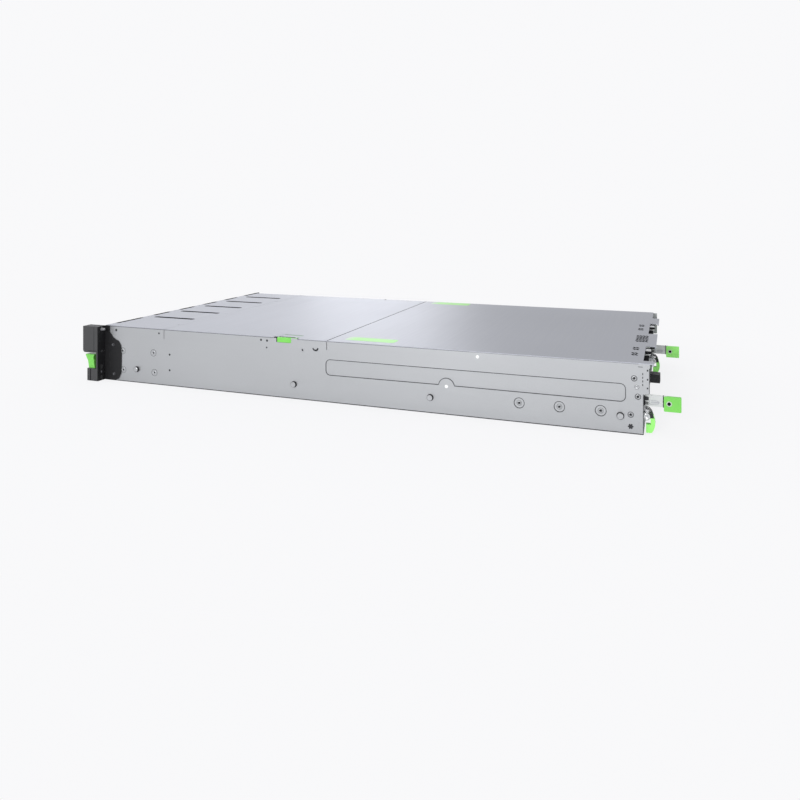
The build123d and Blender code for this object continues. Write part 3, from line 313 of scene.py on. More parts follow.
recess_y, recess_z, recess_corner = (390.6, 797.0), (38.5, 60.5), 6.5
bow_y, bow_z, bow_radius = 568.5, 37.5, 11.0
corners = rounded_outline(recess_y, recess_z, recess_corner, 6)[::-1]
bow = arc((bow_y, bow_z), (bow_radius, bow_radius), [8 + 164 / 18 * step for step in range(19)])
recess_edge = corners[:7] + bow + corners[7:]
# The dark band round the recess is painted shade in its fold.
bm = bmesh.new()
for side in (1, -1):
    side_band(bm, recess_edge, (side * case_half, side), -0.35, 0.04, 0.95)
fold_shadow = moulded("fold_shadow", (0.10, 0.104, 0.11), 0.7, shine=0.0)
new_piece("recess_fold", bm, "chassis", fold_shadow)

seat_y, seat_z, seat_radius = (666.0, 717.0, 767.5), 24.8, 7.0
bm = bmesh.new()
# Painted shade: dark rings round the pressed seats, a dark strip along the bottom edge where the plate meets the
# table, and dark strips along the top edge under the covers.
for side in (1, -1):
    for y in seat_y:
        ring_line(bm, (side * (case_half - 0.5), y, seat_z), (side, 0, 0), seat_radius - 0.4, 0.75, 0.4)
    slab(bm, (side * 223.4, side * 224.04), (6, 818), (0.1, 1.2))
    for y, z in (((9, 305), (85.45, 85.95)), ((345, 600), (85.5, 85.9)), ((600, 812), (85.55, 85.8))):
        slab(bm, (side * 223.4, side * 224.05), y, z)
new_piece("plate_shade_lines", bm, "chassis", edge_shade)


# Rear end of the side plates: a flange is folded round the rear frame, with rows of short slits and hook ends.
# The slits are punched through the sheet; thin dark strips of painted shade lie in them, and a dark crescent of
# painted shade shows under a pressed louvre.
def slab_row(bm, count, shift, x, y, z, edge=0.0):
    """A row of equal blocks, each moved on from the one before it."""
    for step in range(count):
        moved = [(low + move * step, high + move * step) for move, (low, high) in zip(shift, (x, y, z))]
        slab(bm, *moved, edge)


def skinned(bm, rings):
    """Faces that close rings of equal count to one body."""
    count = len(rings[0])
    for low, high in zip(rings, rings[1:]):
        for i in range(count):
            j = (i + 1) % count
            bm.faces.new((low[i], low[j], high[j], high[i]))
    bm.faces.new(rings[0][::-1])
    bm.faces.new(rings[-1])


def layered(bm, layers, place=lambda a, b, h: (a, b, h)):
    """A closed body from layers, each of them a list of points and a height."""
    skinned(bm, [[bm.verts.new(Vector(place(a, b, h)) * mm) for a, b in points] for points, h in layers])


bm = bmesh.new()
for side in (1, -1):
    face = (side * 223.6, side * 224.06)
    slab_row(bm, 4, (0, 0, 4.4), face, (816.4, 817.4), (59.5, 62.0))
    for z in (56.0, 66.5, 77.5):
        slab(bm, face, (821.6, 823.4), (z, z + 2.2), 0.2)
    slab(bm, face, (811.6, 816.8), (82.1, 82.8))
    slab(bm, face, (824.2, 824.9), (50.5, 81.0))
    slab(bm, face, (817.2, 817.9), (2.0, 49.5))
    # A dark crescent of painted shade under the pressed louvre.
    smile = arc((374.3, 75.2), (4.9, 4.5), range(185, 361, 25))
    smile += arc((374.0, 75.9), (3.1, 2.7), range(360, 184, -25))
    layered(bm, [(smile, 223.5), (smile, 224.06)], lambda a, b, h: (side * h, a, b))
new_piece("plate_slit_shade", bm, "chassis", edge_shade)


# Drilled holes: thin dark discs of painted shade lie in them, where the inside of the case shows dark.
# Beside the cover latch a small hook of the same sheet stands in its punched window.
def disc(bm, radius, height, foot, along, sides=28):
    """A flat round plate."""
    turned(bm, [(0, 0), (radius, 0), (radius, height), (0, height)], foot, along, sides)


bm = bmesh.new()
for side in (1, -1):
    for y, z, reach in (
        (103.4, 79.8, 1.5), (285.3, 81.4, 1.65), (295.3, 81.0, 1.65), (294.7, 70.8, 1.3),
        (123.5, 48.2, 1.65), (123.5, 24.0, 1.65), (20.8, 80.0, 2.1),
    ):
        disc(bm, reach, 0.72, (side * 223.3, y, z), (side, 0, 0), 20)
    # A dark disc of painted shade on the plate at the lowest rear screw, and a dark plate of painted shade behind
    # the hook's window.
    disc(bm, 2.3, 0.5, (side * 224.1, 803.0, 9.1), (side, 0, 0), 20)
    slab(bm, (side * 222.9, side * 223.2), (369.0, 379.5), (70.5, 77.0), 0.1)
new_piece("plate_hole_shade", bm, "chassis", edge_shade)
plug = bmesh.new()
for side in (1, -1):
    outline = rounded_outline((370.5, 378.1), (72.3, 75.1), 1.35)
    layered(plug, [(outline, 223.2), (outline, 223.98)], lambda p, q, h: (side * h, p, q))
new_piece("pressed_hook", plug, "chassis", plate_sheet)


# Rail studs: bright turned pins, four on each side plate, whose neck behind the head is painted near black as
# shade.
# They hang the case in the slots of the slide rails.
def bare(count):
    """Empty meshes to build several pieces in."""
    return [bmesh.new() for number in range(count)]


stud_y, stud_z = (61.4, 339.8, 546.0, 790.9), 21.0
fine_grain = (900.0, 900.0, 900.0)
bright_turned = coated_sheet("bright_turned_steel", (0.66, 0.67, 0.68), 0.3, 0.9, fine_grain)
# A near black steel that stands partly for dark steel and partly for painted shade: stud necks, screw sockets,
# handle roots and lever arms.
dark_steel_shade = coated_sheet("dark_steel_and_painted_shade", (0.03, 0.031, 0.034), 0.45, 0.5, fine_grain)
bm, neck_shade = bare(2)
for side in (1, -1):
    for y in stud_y:
        foot = (side * case_half, y, stud_z)
        turned(bm, [(0, 2.9), (3.4, 2.9), (3.75, 3.1), (3.7, 3.3), (3.2, 3.6), (0, 3.6)], foot, (side, 0, 0), 40)
        neck = [(0, 0), (4.5, 0), (4.5, 0.2), (4.0, 0.5), (3.9, 1.6), (4.0, 1.9), (4.0, 3.1), (0, 3.1)]
        turned(neck_shade, neck, foot, (side, 0, 0), 40)
new_piece("rail_stud_heads", bm, "chassis", plate_sheet, stands_for="rail_studs")
new_piece("rail_stud_neck_shade", neck_shade, "chassis", dark_steel_shade, True)

# Side screws: low heads with six-lobed sockets filled with dark painted shade, each in a dark ring of painted shade
# where the plate is pressed around it.
# They hold the bay walls, the fan row and the rear frame; two smooth rivets hold the recess.
# Each place has a kind: 0 wide ring, 1 narrow ring, 2 dark head, 3 pressed seat, 4 faint ring alone, 5 bare head.
screw_places = (
    (93.0, 48.7, 0), (95.0, 18.3, 0), (353.6, 71.2, 5), (803.0, 23.4, 1), (807.0, 68.0, 1),
    (811.4, 46.0, 1), (803.0, 9.1, 2), (666.0, 24.8, 3), (717.0, 24.8, 3), (767.5, 24.8, 3),
    (35.0, 18.3, 0), (33.5, 48.0, 0), (810.0, 57.7, 4),
)
rivet_places = ((568.5, 37.5), (611.0, 80.0))
plate_head = coated_sheet("plate_screw_head", (0.50, 0.51, 0.525), 0.36, 0.85, fine_grain)
heads, socket_shade, collars_and_ring_shade, rivets = bare(4)
for side in (1, -1):
    out = (side, 0, 0)
    for y, z, kind in screw_places:
        base = case_half - (0.5 if kind == 3 else 0.0)
        foot = (side * base, y, z)
        head = 3.6 if kind == 0 else 2.6
        dome = [(head, 0), (head, 0.25), (head - 0.4, 0.45), (1.5, 0.45, 0.2), (1.4, 0.1, 0.2), (0, 0.1)]
        turned(heads, dome, foot, out)
        if kind != 4:
            reach = (1.0, 1.75, 2.9, 1.9, 0, 1.3)[kind]
            turned(socket_shade, [(0, 0.08), (reach, 0.12, 0.22), (reach, 0.47, 0.22), (0, 0.3)], foot, out, 24)
        if kind not in (2, 5):
            radius, width = ((5.2, 0.55), (3.3, 0.9), (0, 0), (3.3, 0.35), (2.6, 0.5))[kind]
            ring_line(collars_and_ring_shade, foot, out, radius, width, 0.08)
    for y, z in rivet_places:
        turned(rivets, [(2.4, 0), (2.3, 0.35), (1.6, 0.5), (0, 0.55)], (side * case_half, y, z), out)
new_piece("side_screw_heads", heads, "chassis", plate_head, True, "side_screws")
new_piece("side_screw_socket_shade", socket_shade, "chassis", dark_steel_shade)
# The ring lines are painted shade round each screw's seat.
ring_shadow = moulded("ring_shadow", (0.13, 0.134, 0.14), 0.6, shine=0.0)
new_piece("side_screw_rings", collars_and_ring_shade, "chassis", ring_shadow)
new_piece("recess_rivets", rivets, "chassis", moulded("rivet_face", (0.86, 0.87, 0.87), 0.35), True)


# Three top covers: folded steel sheet with the same finish as the sides, laid on the inner rails.
# Dark strips of painted shade lie in the slots and along the relieved front edge, and dark film of painted shade
# closes the vents.
def about(middle, reach):
    """The two limits that lie a reach to either side of a middle."""
    return middle - reach, middle + reach


cover_sheet = coated_sheet("cover_sheet", (0.45, 0.464, 0.51), 0.43, 0.8, (5.0, 240.0, 240.0))
dress(cover_sheet, "front_cover", "mid_cover", "rear_cover")
up = (0, 0, 1)
# Near black that stands for painted shade in gaps, slots, vents, grooves and seams.
gap_shade = moulded("gap_shadow", (0.014, 0.014, 0.016), 0.9, shine=0.0)
divider_x = [126.0 - 72.0 * n for n in range(5)]
slot_y, shade_block_z, shade_film_z = (17.6, 96.9), (84.9, 86.8), (86.9, 87.02)
shade_blocks, shade_film = bare(2)
for x in divider_x:
    slab(shade_blocks, about(x, 1.45), slot_y, (84.9, 86.85), 0.2)
    slab(shade_blocks, (x - 56.9, x - 15.1), (0.15, 2.9), shade_block_z, 0.2)
    for dx, y in ((-4, 7), (4, 7), (0, 4)):
        disc(shade_blocks, 0.85, 1.9, (x + dx, y, 85.0), up, 16)
    strip = rounded_outline(about(x, 4.8), slot_y, 3.0)
    layered(shade_film, [(strip, height) for height in shade_film_z])
    slab(shade_film, (x - 56.9, x - 15.1), (0.05, 6.6), shade_film_z)
slab(shade_blocks, (141.1, 197.9), (0.15, 2.9), shade_block_z, 0.2)
disc(shade_blocks, 1.15, 1.9, (181, 107.6, 85.0), up, 16)
for x, y in (((141.1, 203), (0.05, 6.6)), ((-223.9, -214), (0.05, 7)), ((-223.9, -216.5), (304.6, 308))):
    slab(shade_film, x, y, shade_film_z)
new_piece("front_cover_shade_blocks", shade_blocks, "chassis", gap_shade)
new_piece("front_cover_shade_film", shade_film, "chassis", gap_shade)

# Dark films of painted shade in the slanted vents of the rear cover, and a dark line of painted shade along the
# seam between the middle and rear covers.
vent_places = [(51.5 + 11 * (col - 2), 810 + 4.2 * (row - 1.5)) for col in range(5) for row in range(4)]
for x in (130, 168, -67, -31):
    vent_places += [(x + 11 * (col - 0.5), 805 + 4 * (row - 0.5)) for col in range(2) for row in range(2)]
bm = bmesh.new()
lean = radians(20)
for number, (x, y) in enumerate(vent_places):
    half = 4.6 if number < 20 else 4.2
    outline = [
        (x + a * cos(lean) - b * sin(lean), y + a * sin(lean) + b * cos(lean))
        for a, b in rounded_outline((-half, half), (-1.5, 1.5), 1.3)
    ]
    layered(bm, [(outline, 86.9), (outline, 87.03)])
slab(bm, (-222.5, 222.5), (391.4, 393.0), (86.2, 87.04), 0.1)
new_piece("rear_vent_shade", bm, "rear_lid", gap_shade)

# Folded lips: the rear cover ends in a narrow hem, cut away over the two riser bays.
# Dark blocks of painted shade lie in the bays between the hem and the riser cages.
bm, bay_shade = bare(2)
for low, high in ((208.3, 223.7), (6.3, 105.7), (-150.7, -96.3)):
    slab(bm, (low, high), (828.2, 829.8), (83.4, 85.9), 0.4)
for low in (106.0, -96.0):
    for x in ((low + 0.4, low + 7.5), (low + 26, low + 40), (low + 94, low + 101.6)):
        slab(bay_shade, x, (816.6, 824.6), (83.55, 84.9), 0.5)
    slab(bay_shade, (low + 44, low + 92), (812.5, 822.5), (80.9, 82.9), 0.5)
new_piece("rear_cover_hem", bm, "rear_lid", cover_sheet)
new_piece("riser_bay_shade", bay_shade, "tray", gap_shade)

# Touch pads: two thin green grip films on the rear cover, where the hands push to slide it off.
# Their front ends fade to a pale grey, and a fine grain varies their green.
pad_paint, tree, shader = new_material("green_film")
settle(shader, Roughness=0.42)
place = add_node(tree, "TexCoord")
split = add_node(tree, "SeparateXYZ")
film_grain = add_node(tree, "TexNoise", Scale=900.0)
film_tone = blend(tree, (0.32, 0.73, 0.21), (0.37, 0.77, 0.26))
film_ends = add_node(tree, "MapRange", From_Min=0.409, From_Max=0.425)
film_fade = blend(tree, (0.50, 0.56, 0.52), (0.5, 0.5, 0.5))
film_bump = add_node(tree, "Bump", Strength=0.2, Distance=0.0001)
wire(
    tree, (place, "Object", split, 0), (place, "Object", film_grain, "Vector"),
    (film_grain, "Fac", film_tone, "Factor"), (split, "Y", film_ends, "Value"),
    (film_ends, "Result", film_fade, "Factor"), (film_tone, "Result", film_fade, "B"),
    (film_fade, "Result", shader, "Base Color"), (film_grain, "Fac", film_bump, "Height"),
    (film_bump, "Normal", shader, "Normal"),
)
bm = bmesh.new()
for x, y in (((184.0, 207.5), (411.0, 487.0)), ((-222.0, -195.0), (410.0, 485.0))):
    edge = rounded_outline(x, y, 5.0)
    inset = rounded_outline((x[0] + 0.5, x[1] - 0.5), (y[0] + 0.5, y[1] - 0.5), 4.5)
    layered(bm, [(edge, 86.9), (edge, 87.06), (inset, 87.14)])
new_piece("touch_pads", bm, "rear_lid", pad_paint)

# Cover latch: a moulded green flap that hooks over the side plate and frees the middle cover.
# Dark painted shade lies in the gap in front of it and along its notch, and ribs give the finger a hold.
green_plastic = moulded("green_plastic", (0.19, 0.625, 0.098), 0.42)
dress(green_plastic, "cover_latch")
bm = bmesh.new()
slab(bm, (223.2, 224.05), (310.9, 312.2), (80.2, 86.0))
slab(bm, (213.9, 223.9), (306.3, 312.1), (85.72, 85.86))
slab(bm, (213.9, 223.9), (343.0, 345.8), (85.72, 85.86))
new_piece("latch_notch_shadow", bm, "chassis", gap_shade)
bm = bmesh.new()
slab(bm, (199.3, 213.5), (306.3, 309.4), (84.9, 85.7), 0.1)
new_piece("latch_notch_shade", bm, "mid_lid", gap_shade)
bm = bmesh.new()
slab_row(bm, 4, (0, 5.2, 0), (219.4, 222.6), (316.0, 318.2), (86.6, 86.96), 0.12)
slab(bm, (223.7, 224.12), (314.0, 336.0), (83.4, 84.0), 0.1)
new_piece("cover_latch_ribs", bm, "lid_latch", green_plastic)

# Latch leaves: folded sheet of the cover's own steel lies over the latch's root and either side of it.
# A dark line of painted shade shows where the leaf ends, and a heel of side plate steel closes the notch from the
# side.
leaf = bmesh.new()
slab(leaf, (202.8, 218.0), (312.5, 342.5), (86.55, 86.99), 0.1)
new_piece("cover_latch_leaf", leaf, "lid_latch", cover_sheet)
line = bmesh.new()
slab(line, (216.6, 219.2), (312.5, 339.0), (86.5, 87.0), 0.1)
new_piece("cover_latch_shade_line", line, "lid_latch", gap_shade)
leaf = bmesh.new()
slab(leaf, (223.5, 224.08), (335.0, 345.4), (79.8, 86.9), 0.1)
new_piece("cover_latch_heel", leaf, "lid_latch", plate_sheet)
leaf = bmesh.new()
for y in ((306.05, 311.9), (343.1, 345.95)):
    slab(leaf, (199.05, 218.0), y, (85.87, 86.99), 0.1)
new_piece("latch_notch_leaves", leaf, "mid_lid", cover_sheet)

# Ear brackets: black painted steel plates, screwed to the side plates and turned out to meet the rack posts.
# Two round screw seats and two low pressed beads stand on each side.
bracket_paint = moulded("bracket_paint", (0.0085, 0.0085, 0.0095), 0.5, depth=0.00006, shine=0.3)
dress(bracket_paint, "ear_bracket_right", "ear_bracket_left")
rear = (0, 1, 0)
black_screw = coated_sheet("blackened_screw", (0.10, 0.10, 0.108), 0.38, 0.8, fine_grain)
seats, screws, marks = bare(3)
for side in (1, -1):
    out = (side, 0, 0)
    face = side * 225.2
    for y, z in ((15.9, 56.6), (17.4, 10.5)):
        foot = (face, y, z)
        turned(seats, [(4.4, 0), (4.2, 0.12), (3.5, 0.14), (3.3, 0)], foot, out, 32, True)
        pan = [(2.6, 0), (2.6, 0.2), (2.2, 0.38), (1.3, 0.38, 0.2), (1.2, 0.06, 0.2), (0, 0.06)]
        turned(screws, pan, foot, out)
    for y, z, tall in ((8.0, 40.0, 9.0), (9.0, 25.0, 7.0)):
        layered(marks, [
            (rounded_outline(about(y, 1.6), about(z, tall / 2), 1.5), 0.0),
            (rounded_outline(about(y, 1.2), about(z, tall / 2 - 0.4), 1.1), 0.28),
        ], lambda a, b, h: (face + side * h, a, b))
    for x, z, radius in ((232.0, 14.0, 3.3), (231.5, 46.5, 2.2)):
        washer = [(radius, 0), (radius, 0.4), (radius + 1.0, 0.4), (radius + 1.2, 0)]
        turned(seats, washer, (side * x, 0.0, z), rear, 32, True)
        disc(screws, radius - 0.3, 0.2, (side * x, 0.0, z), rear)
new_piece("bracket_screw_seats", seats, "chassis", bracket_paint, True)
new_piece("bracket_screws", screws, "chassis", black_screw, True)
new_piece("bracket_beads", marks, "chassis", bracket_paint)

# Ear covers: deep dark grey plastic blocks with a low latch housing below, moulded over the flange.
# The right one holds a USB socket in its front, and both have a seam where the two halves meet.
ear_plastic = moulded("ear_plastic", (0.046, 0.046, 0.048), 0.5)
dress(ear_plastic, "ear_cover_right", "ear_cover_left")
ear_mid = 232.85
bm = bmesh.new()
for side, top in ((1, 86.4), (-1, 78.0)):
    outer = (side * 241.1, side * 241.36)
    slab(bm, outer, (-20.5, -1.6), (47.6, 48.1))
    slab(bm, outer, (-15.6, -13.8), (1.2, 19.4), 0.1)
    slab(bm, outer, (-20.8, -19.9), (1.2, 19.4), 0.1)
    slab(bm, outer, (-8.2, -7.7), (46.0, top - 1.5))
    slab(bm, (side * 224.6, side * 241.0), (-8.2, -7.7), (top - 0.2, top + 0.05))
new_piece("ear_cover_seams", bm, "chassis", gap_shade)

usb_shell, usb_tongue, usb_contacts = bare(3)
shell_rings = ((2.9, 6.5, 0.5, -16.2), (2.9, 6.5, 0.5, -29.4), (2.45, 6.05, 0.4, -29.7), (2.4, 6.0, 0.4, -16.6))
layered(usb_shell, [
    (rounded_outline(about(ear_mid, half), about(66, tall), corner), y) for half, tall, corner, y in shell_rings
], lambda a, b, h: (a, h, b))
slab(usb_tongue, (ear_mid - 1.9, ear_mid - 0.2), (-28.8, -16.4), (60.6, 71.4), 0.2)
slab_row(usb_contacts, 4, (0, 0, 2.5), (ear_mid - 0.25, ear_mid - 0.1), (-28.0, -18.0), (61.9, 62.9))
tongue_black = moulded("tongue_plastic", (0.012, 0.012, 0.013), 0.4)
gold_plate = coated_sheet("gold_contact", (0.80, 0.60, 0.24), 0.25, 0.95, fine_grain)
new_piece("usb_shell", usb_shell, "chassis", bright_turned)
new_piece("usb_tongue", usb_tongue, "chassis", tongue_black)
new_piece("usb_contacts", usb_contacts, "chassis", gold_plate)

# Buttons: two pale round caps in the front of the left ear, each with a raised ring and a light window.
# The upper one switches the server on, the lower one lights it up for whoever looks for it.
cap_white = moulded("button_cap", (0.62, 0.64, 0.66), 0.34, 3000.0, 0.00003)
dress(cap_white, "power_button", "id_button")
light_green = moulded("light_window_green", (0.16, 0.75, 0.28), 0.25, 3000.0, 0.00002)
light_blue = moulded("light_window_blue", (0.10, 0.32, 0.80), 0.25, 3000.0, 0.00002)
front = (0, -1, 0)
collars_and_ring_shade = bmesh.new()
buttons = (("power_button", "power_key", 70.0, light_green), ("id_button", "id_key", 57.0, light_blue))
for name, body, z, glass in buttons:
    lens, rim = bare(2)
    turned(rim, [(2.2, 0), (2.3, 0.3), (3.6, 0.3), (3.8, 0)], (-ear_mid, -30.2, z), front, 36, True)
    turned(lens, [(0, 0), (1.7, 0), (1.7, 0.25), (1.2, 0.42), (0, 0.46)], (-ear_mid, -30.2, z), front, 24)
    new_piece(name + "_rim", rim, body, cap_white, True)
    new_piece(name + "_window", lens, body, glass, True)
    turned(collars_and_ring_shade, [(4.35, 0), (4.35, 0.3), (5.3, 0.3), (5.6, 0)], (-ear_mid, -29.5, z), front, 40, True)
new_piece("button_collars", collars_and_ring_shade, "chassis", ear_plastic, True)

# Rack latches: moulded green levers on a pin in each ear; the flared cap is pressed to free the rack post.
# Cross ribs on the cap's front stop the thumb from slipping.
dress(green_plastic, "rack_latch_right", "rack_latch_left")
for hand, side in (("right", 1), ("left", -1)):
    bm = bmesh.new()
    slab_row(bm, 4, (0, 1.05, -2.3), about(side * ear_mid, 3.8), (-27.45, -25.7), (38.6, 39.5), 0.2)
    slab(bm, about(side * ear_mid, 4.6), (-27.7, -10.8), (40.5, 41.4), 0.4)
    slab(bm, about(side * ear_mid, 3.0), (-20.4, -11.0), (20.2, 33.0), 0.5)
    new_piece(f"rack_latch_ribs_{hand}", bm, f"rack_lever_{hand}", green_plastic)

# Drive carriers: flat metal boxes with a moulded front lever each, four of them in the right-hand bays.
# A lever carries a green release button, a status light and a dark honeycomb of painted shade behind its vents.
drive_sheet = coated_sheet("drive_sheet", (0.48, 0.49, 0.51), 0.40)
bezel_plastic = moulded("bezel_plastic", (0.022, 0.022, 0.024), 0.45)
bay_x = [207.0 - 18.0 * n for n in range(24)]
dress(bezel_plastic, "bay_blanks")
blank_ribs = bmesh.new()
for x in bay_x[4:]:
    for low in (12.0, 48.0):
        slab_row(blank_ribs, 6, (0, 0, 3.6), about(x, 3.4), (-7.6, -5.0), (low + 2.6, low + 3.7), 0.15)
    slab(blank_ribs, about(x, 5.5), (-8.35, -7.8), (38.2, 43.6), 0.25)
new_piece("bay_blank_ribs", blank_ribs, "chassis", bezel_plastic)

for number, x in enumerate(bay_x[:4], start=1):
    dress(drive_sheet, f"drive_{number}")
    dress(bezel_plastic, f"drive_lever_{number}")
    shell, release, glass = bare(3)
    side_screw = [(1.9, 0), (1.9, 0.2), (1.5, 0.35), (0.8, 0.35), (0, 0.1)]
    for y in (16.0, 54.0, 92.0):
        for z in (9.0, 77.0):
            turned(shell, side_screw, (x + 7.8, y, z), (1, 0, 0), 16)
    for y in (20.0, 62.0):
        slab(shell, (x - 7.5, x + 6.6), (y, y + 24.0), (80.9, 81.3), 0.15)
    slab(shell, (x + 6.75, x + 7.05), (22, 96), (22, 68), 0.1)
    new_piece(f"drive_fittings_{number}", shell, f"carrier_{number}", drive_sheet)
    slab(release, about(x, 4.6), (-7.9, -6.7), (67.7, 74.7), 0.5)
    slab_row(release, 3, (0, 0, 1.9), about(x, 3.4), (-8.15, -7.8), (68.9, 69.6), 0.1)
    new_piece(f"drive_release_{number}", release, f"carrier_lever_{number}", green_plastic)
    grille = bmesh.new()
    for row in range(5):
        low = 19.2 + 7.0 * row
        slab_row(grille, 3, (2.9, 0, 0), (x - 2.8, x - 2.2), (-6.4, -4.2), (low, low + 5.6))
    slab(grille, about(x, 5.3), (-3.9, -3.2), (18.8, 54.0), 0.2)
    new_piece(f"drive_grille_{number}", grille, f"carrier_lever_{number}", gap_shade)
    for z in (60.0, 63.2):
        turned(glass, [(0, 0), (0.9, 0), (0.9, 0.3), (0.5, 0.45), (0, 0.48)], (x - 5.2, -8.0, z), front, 16)
    new_piece(f"drive_lights_{number}", glass, f"carrier_lever_{number}", light_green, True)

# Drive cage: zinc-coated sheets tabbed together into bays, with a cross plate of windows at the back.
# Bright guide strips run along the foot of each divider.
dress(coated_sheet("cage_sheet", (0.52, 0.53, 0.54), 0.42), "drive_cage")
bm = bmesh.new()
for x in divider_x + [217.0, -217.0]:
    for side in (1, -1):
        if abs(x + side * 2) < 216:
            slab(bm, (x + side * 0.6, x + side * 1.15), (6, 104), (3.2, 4.4), 0.1)
new_piece("cage_guides", bm, "chassis", drive_sheet)

# Backplane: a green circuit board across the case with a black socket and power pins for every bay.
# Small capacitors and a row of drivers stand on its rear face.
board_mask = moulded("board_mask", (0.012, 0.10, 0.042), 0.35, 1400.0, 0.00003)
socket_plastic = moulded("socket_plastic", (0.018, 0.018, 0.02), 0.42)
chip_case = moulded("chip_case", (0.028, 0.028, 0.03), 0.5, 3000.0, 0.00002)
dress(board_mask, "backplane", "midplane", "motherboard")
blocks, chips, cans = bare(3)
for x in bay_x:
    slab(blocks, about(x, 4.25), (108.5, 116.0), (14.8, 36.0), 0.4)
    slab(blocks, about(x, 4.25), (108.5, 116.0), (38.0, 55.2), 0.4)
    slab(chips, about(x, 3.5), (118.4, 119.6), (18, 25), 0.2)
    slab(chips, about(x, 2.2), (118.4, 119.3), (40, 43.4), 0.2)
    turned(cans, [(3.1, 0), (3.1, 6.4), (2.7, 7.0), (0, 7.0)], (x, 118.4, 62), rear, 20)
can_metal = coated_sheet("capacitor_can", (0.66, 0.67, 0.68), 0.3, 0.9, fine_grain)
new_piece("backplane_sockets", blocks, "chassis", socket_plastic)
new_piece("backplane_chips", chips, "chassis", chip_case)
new_piece("backplane_capacitors", cans, "chassis", can_metal, True)
blocks, pins = bare(2)
for x in (-62.35, 37.65, 137.65):
    slab_row(blocks, 12, (4.1, 0, 0), (x - 24, x - 21), (399.0, 404.9), (15.4, 34.5), 0.25)
    slab_row(pins, 12, (4.1, 0, 0), (x - 22.8, x - 22.2), (398.2, 399.6), (36.0, 42.0), 0.1)
new_piece("midplane_sockets", blocks, "chassis", socket_plastic)
new_piece("midplane_pins", pins, "chassis", gold_plate)

# Fans: five black moulded frames with a ball-bearing motor on four struts and seven swept blades.
# Each blade is a thin curved wing that thickens to its hub; a cap and a plug finish each fan.
fan_plastic = moulded("fan_plastic", (0.024, 0.024, 0.026), 0.42)
dress(fan_plastic, "fan_frames")
fan_x, fan_z = [-168.0, -84.0, 0.0, 84.0, 168.0], 41.2
blade_count, hub_radius, blade_reach = 7, 17.0, 36.4
fittings = bmesh.new()
for number, x in enumerate(fan_x, start=1):
    wheel = bmesh.new()
    turned(wheel, [
        (2.05, 217.0), (15.2, 217.0), (16.6, 217.8), (hub_radius, 219.2), (hub_radius, 242.2), (16.4, 243.3),
        (2.05, 243.3),
    ], (x, 0, fan_z), rear, 48, True)
    for blade in range(blade_count):
        base = tau * blade / blade_count
        rows = []
        for across in range(7):
            radius = hub_radius - 0.4 + (blade_reach - hub_radius + 0.4) * across / 6
            pitch = radians(52 - 22 * across / 6)
            sweep = 0.34 * (across / 6) ** 1.4
            half_chord = 9.6 + 1.6 * sin(pi * across / 6)
            thick = 1.7 - 0.9 * across / 6
            ring = []
            for side in (1, -1):
                for step in range(-4 * side, 5 * side, side):
                    s = step / 4
                    skin = side * thick / 2 * sqrt(max(0.02, 1 - s * s))
                    y = 230.2 + s * half_chord * cos(pitch) + skin * sin(pitch)
                    offset = s * half_chord * sin(pitch) + 1.6 * (1 - s * s) - skin * cos(pitch)
                    turn = base + sweep + offset / radius
                    point = Vector((x + radius * cos(turn), y, fan_z + radius * sin(turn)))
                    ring.append(wheel.verts.new(point * mm))
            rows.append(ring)
        skinned(wheel, rows)
    new_piece(
        f"fan_wheel_{number}", wheel, f"rotor_{number}", fan_plastic, True, f"fan_impeller_{number}"
    )
    for dx in about(0, 35.5):
        for dz in about(0, 35.5):
            foot = (x + dx, 210.0, fan_z + dz)
            turned(fittings, [(2.6, 0), (2.6, 0.5), (1.6, 0.5), (1.6, 0.2), (0, 0.2)], foot, front, 20)
    slab(fittings, (x + 22, x + 34), (243.5, 247.5), (2.2, 8.2), 0.5)
    slab(fittings, about(x, 10), (212.5, 246.0), (81.2, 83.0), 0.6)
    slab_row(fittings, 4, (0, 7, 0), about(x, 8), (217.0, 218.6), (83.0, 83.5), 0.15)
new_piece("fan_fittings", fittings, "chassis", fan_plastic)

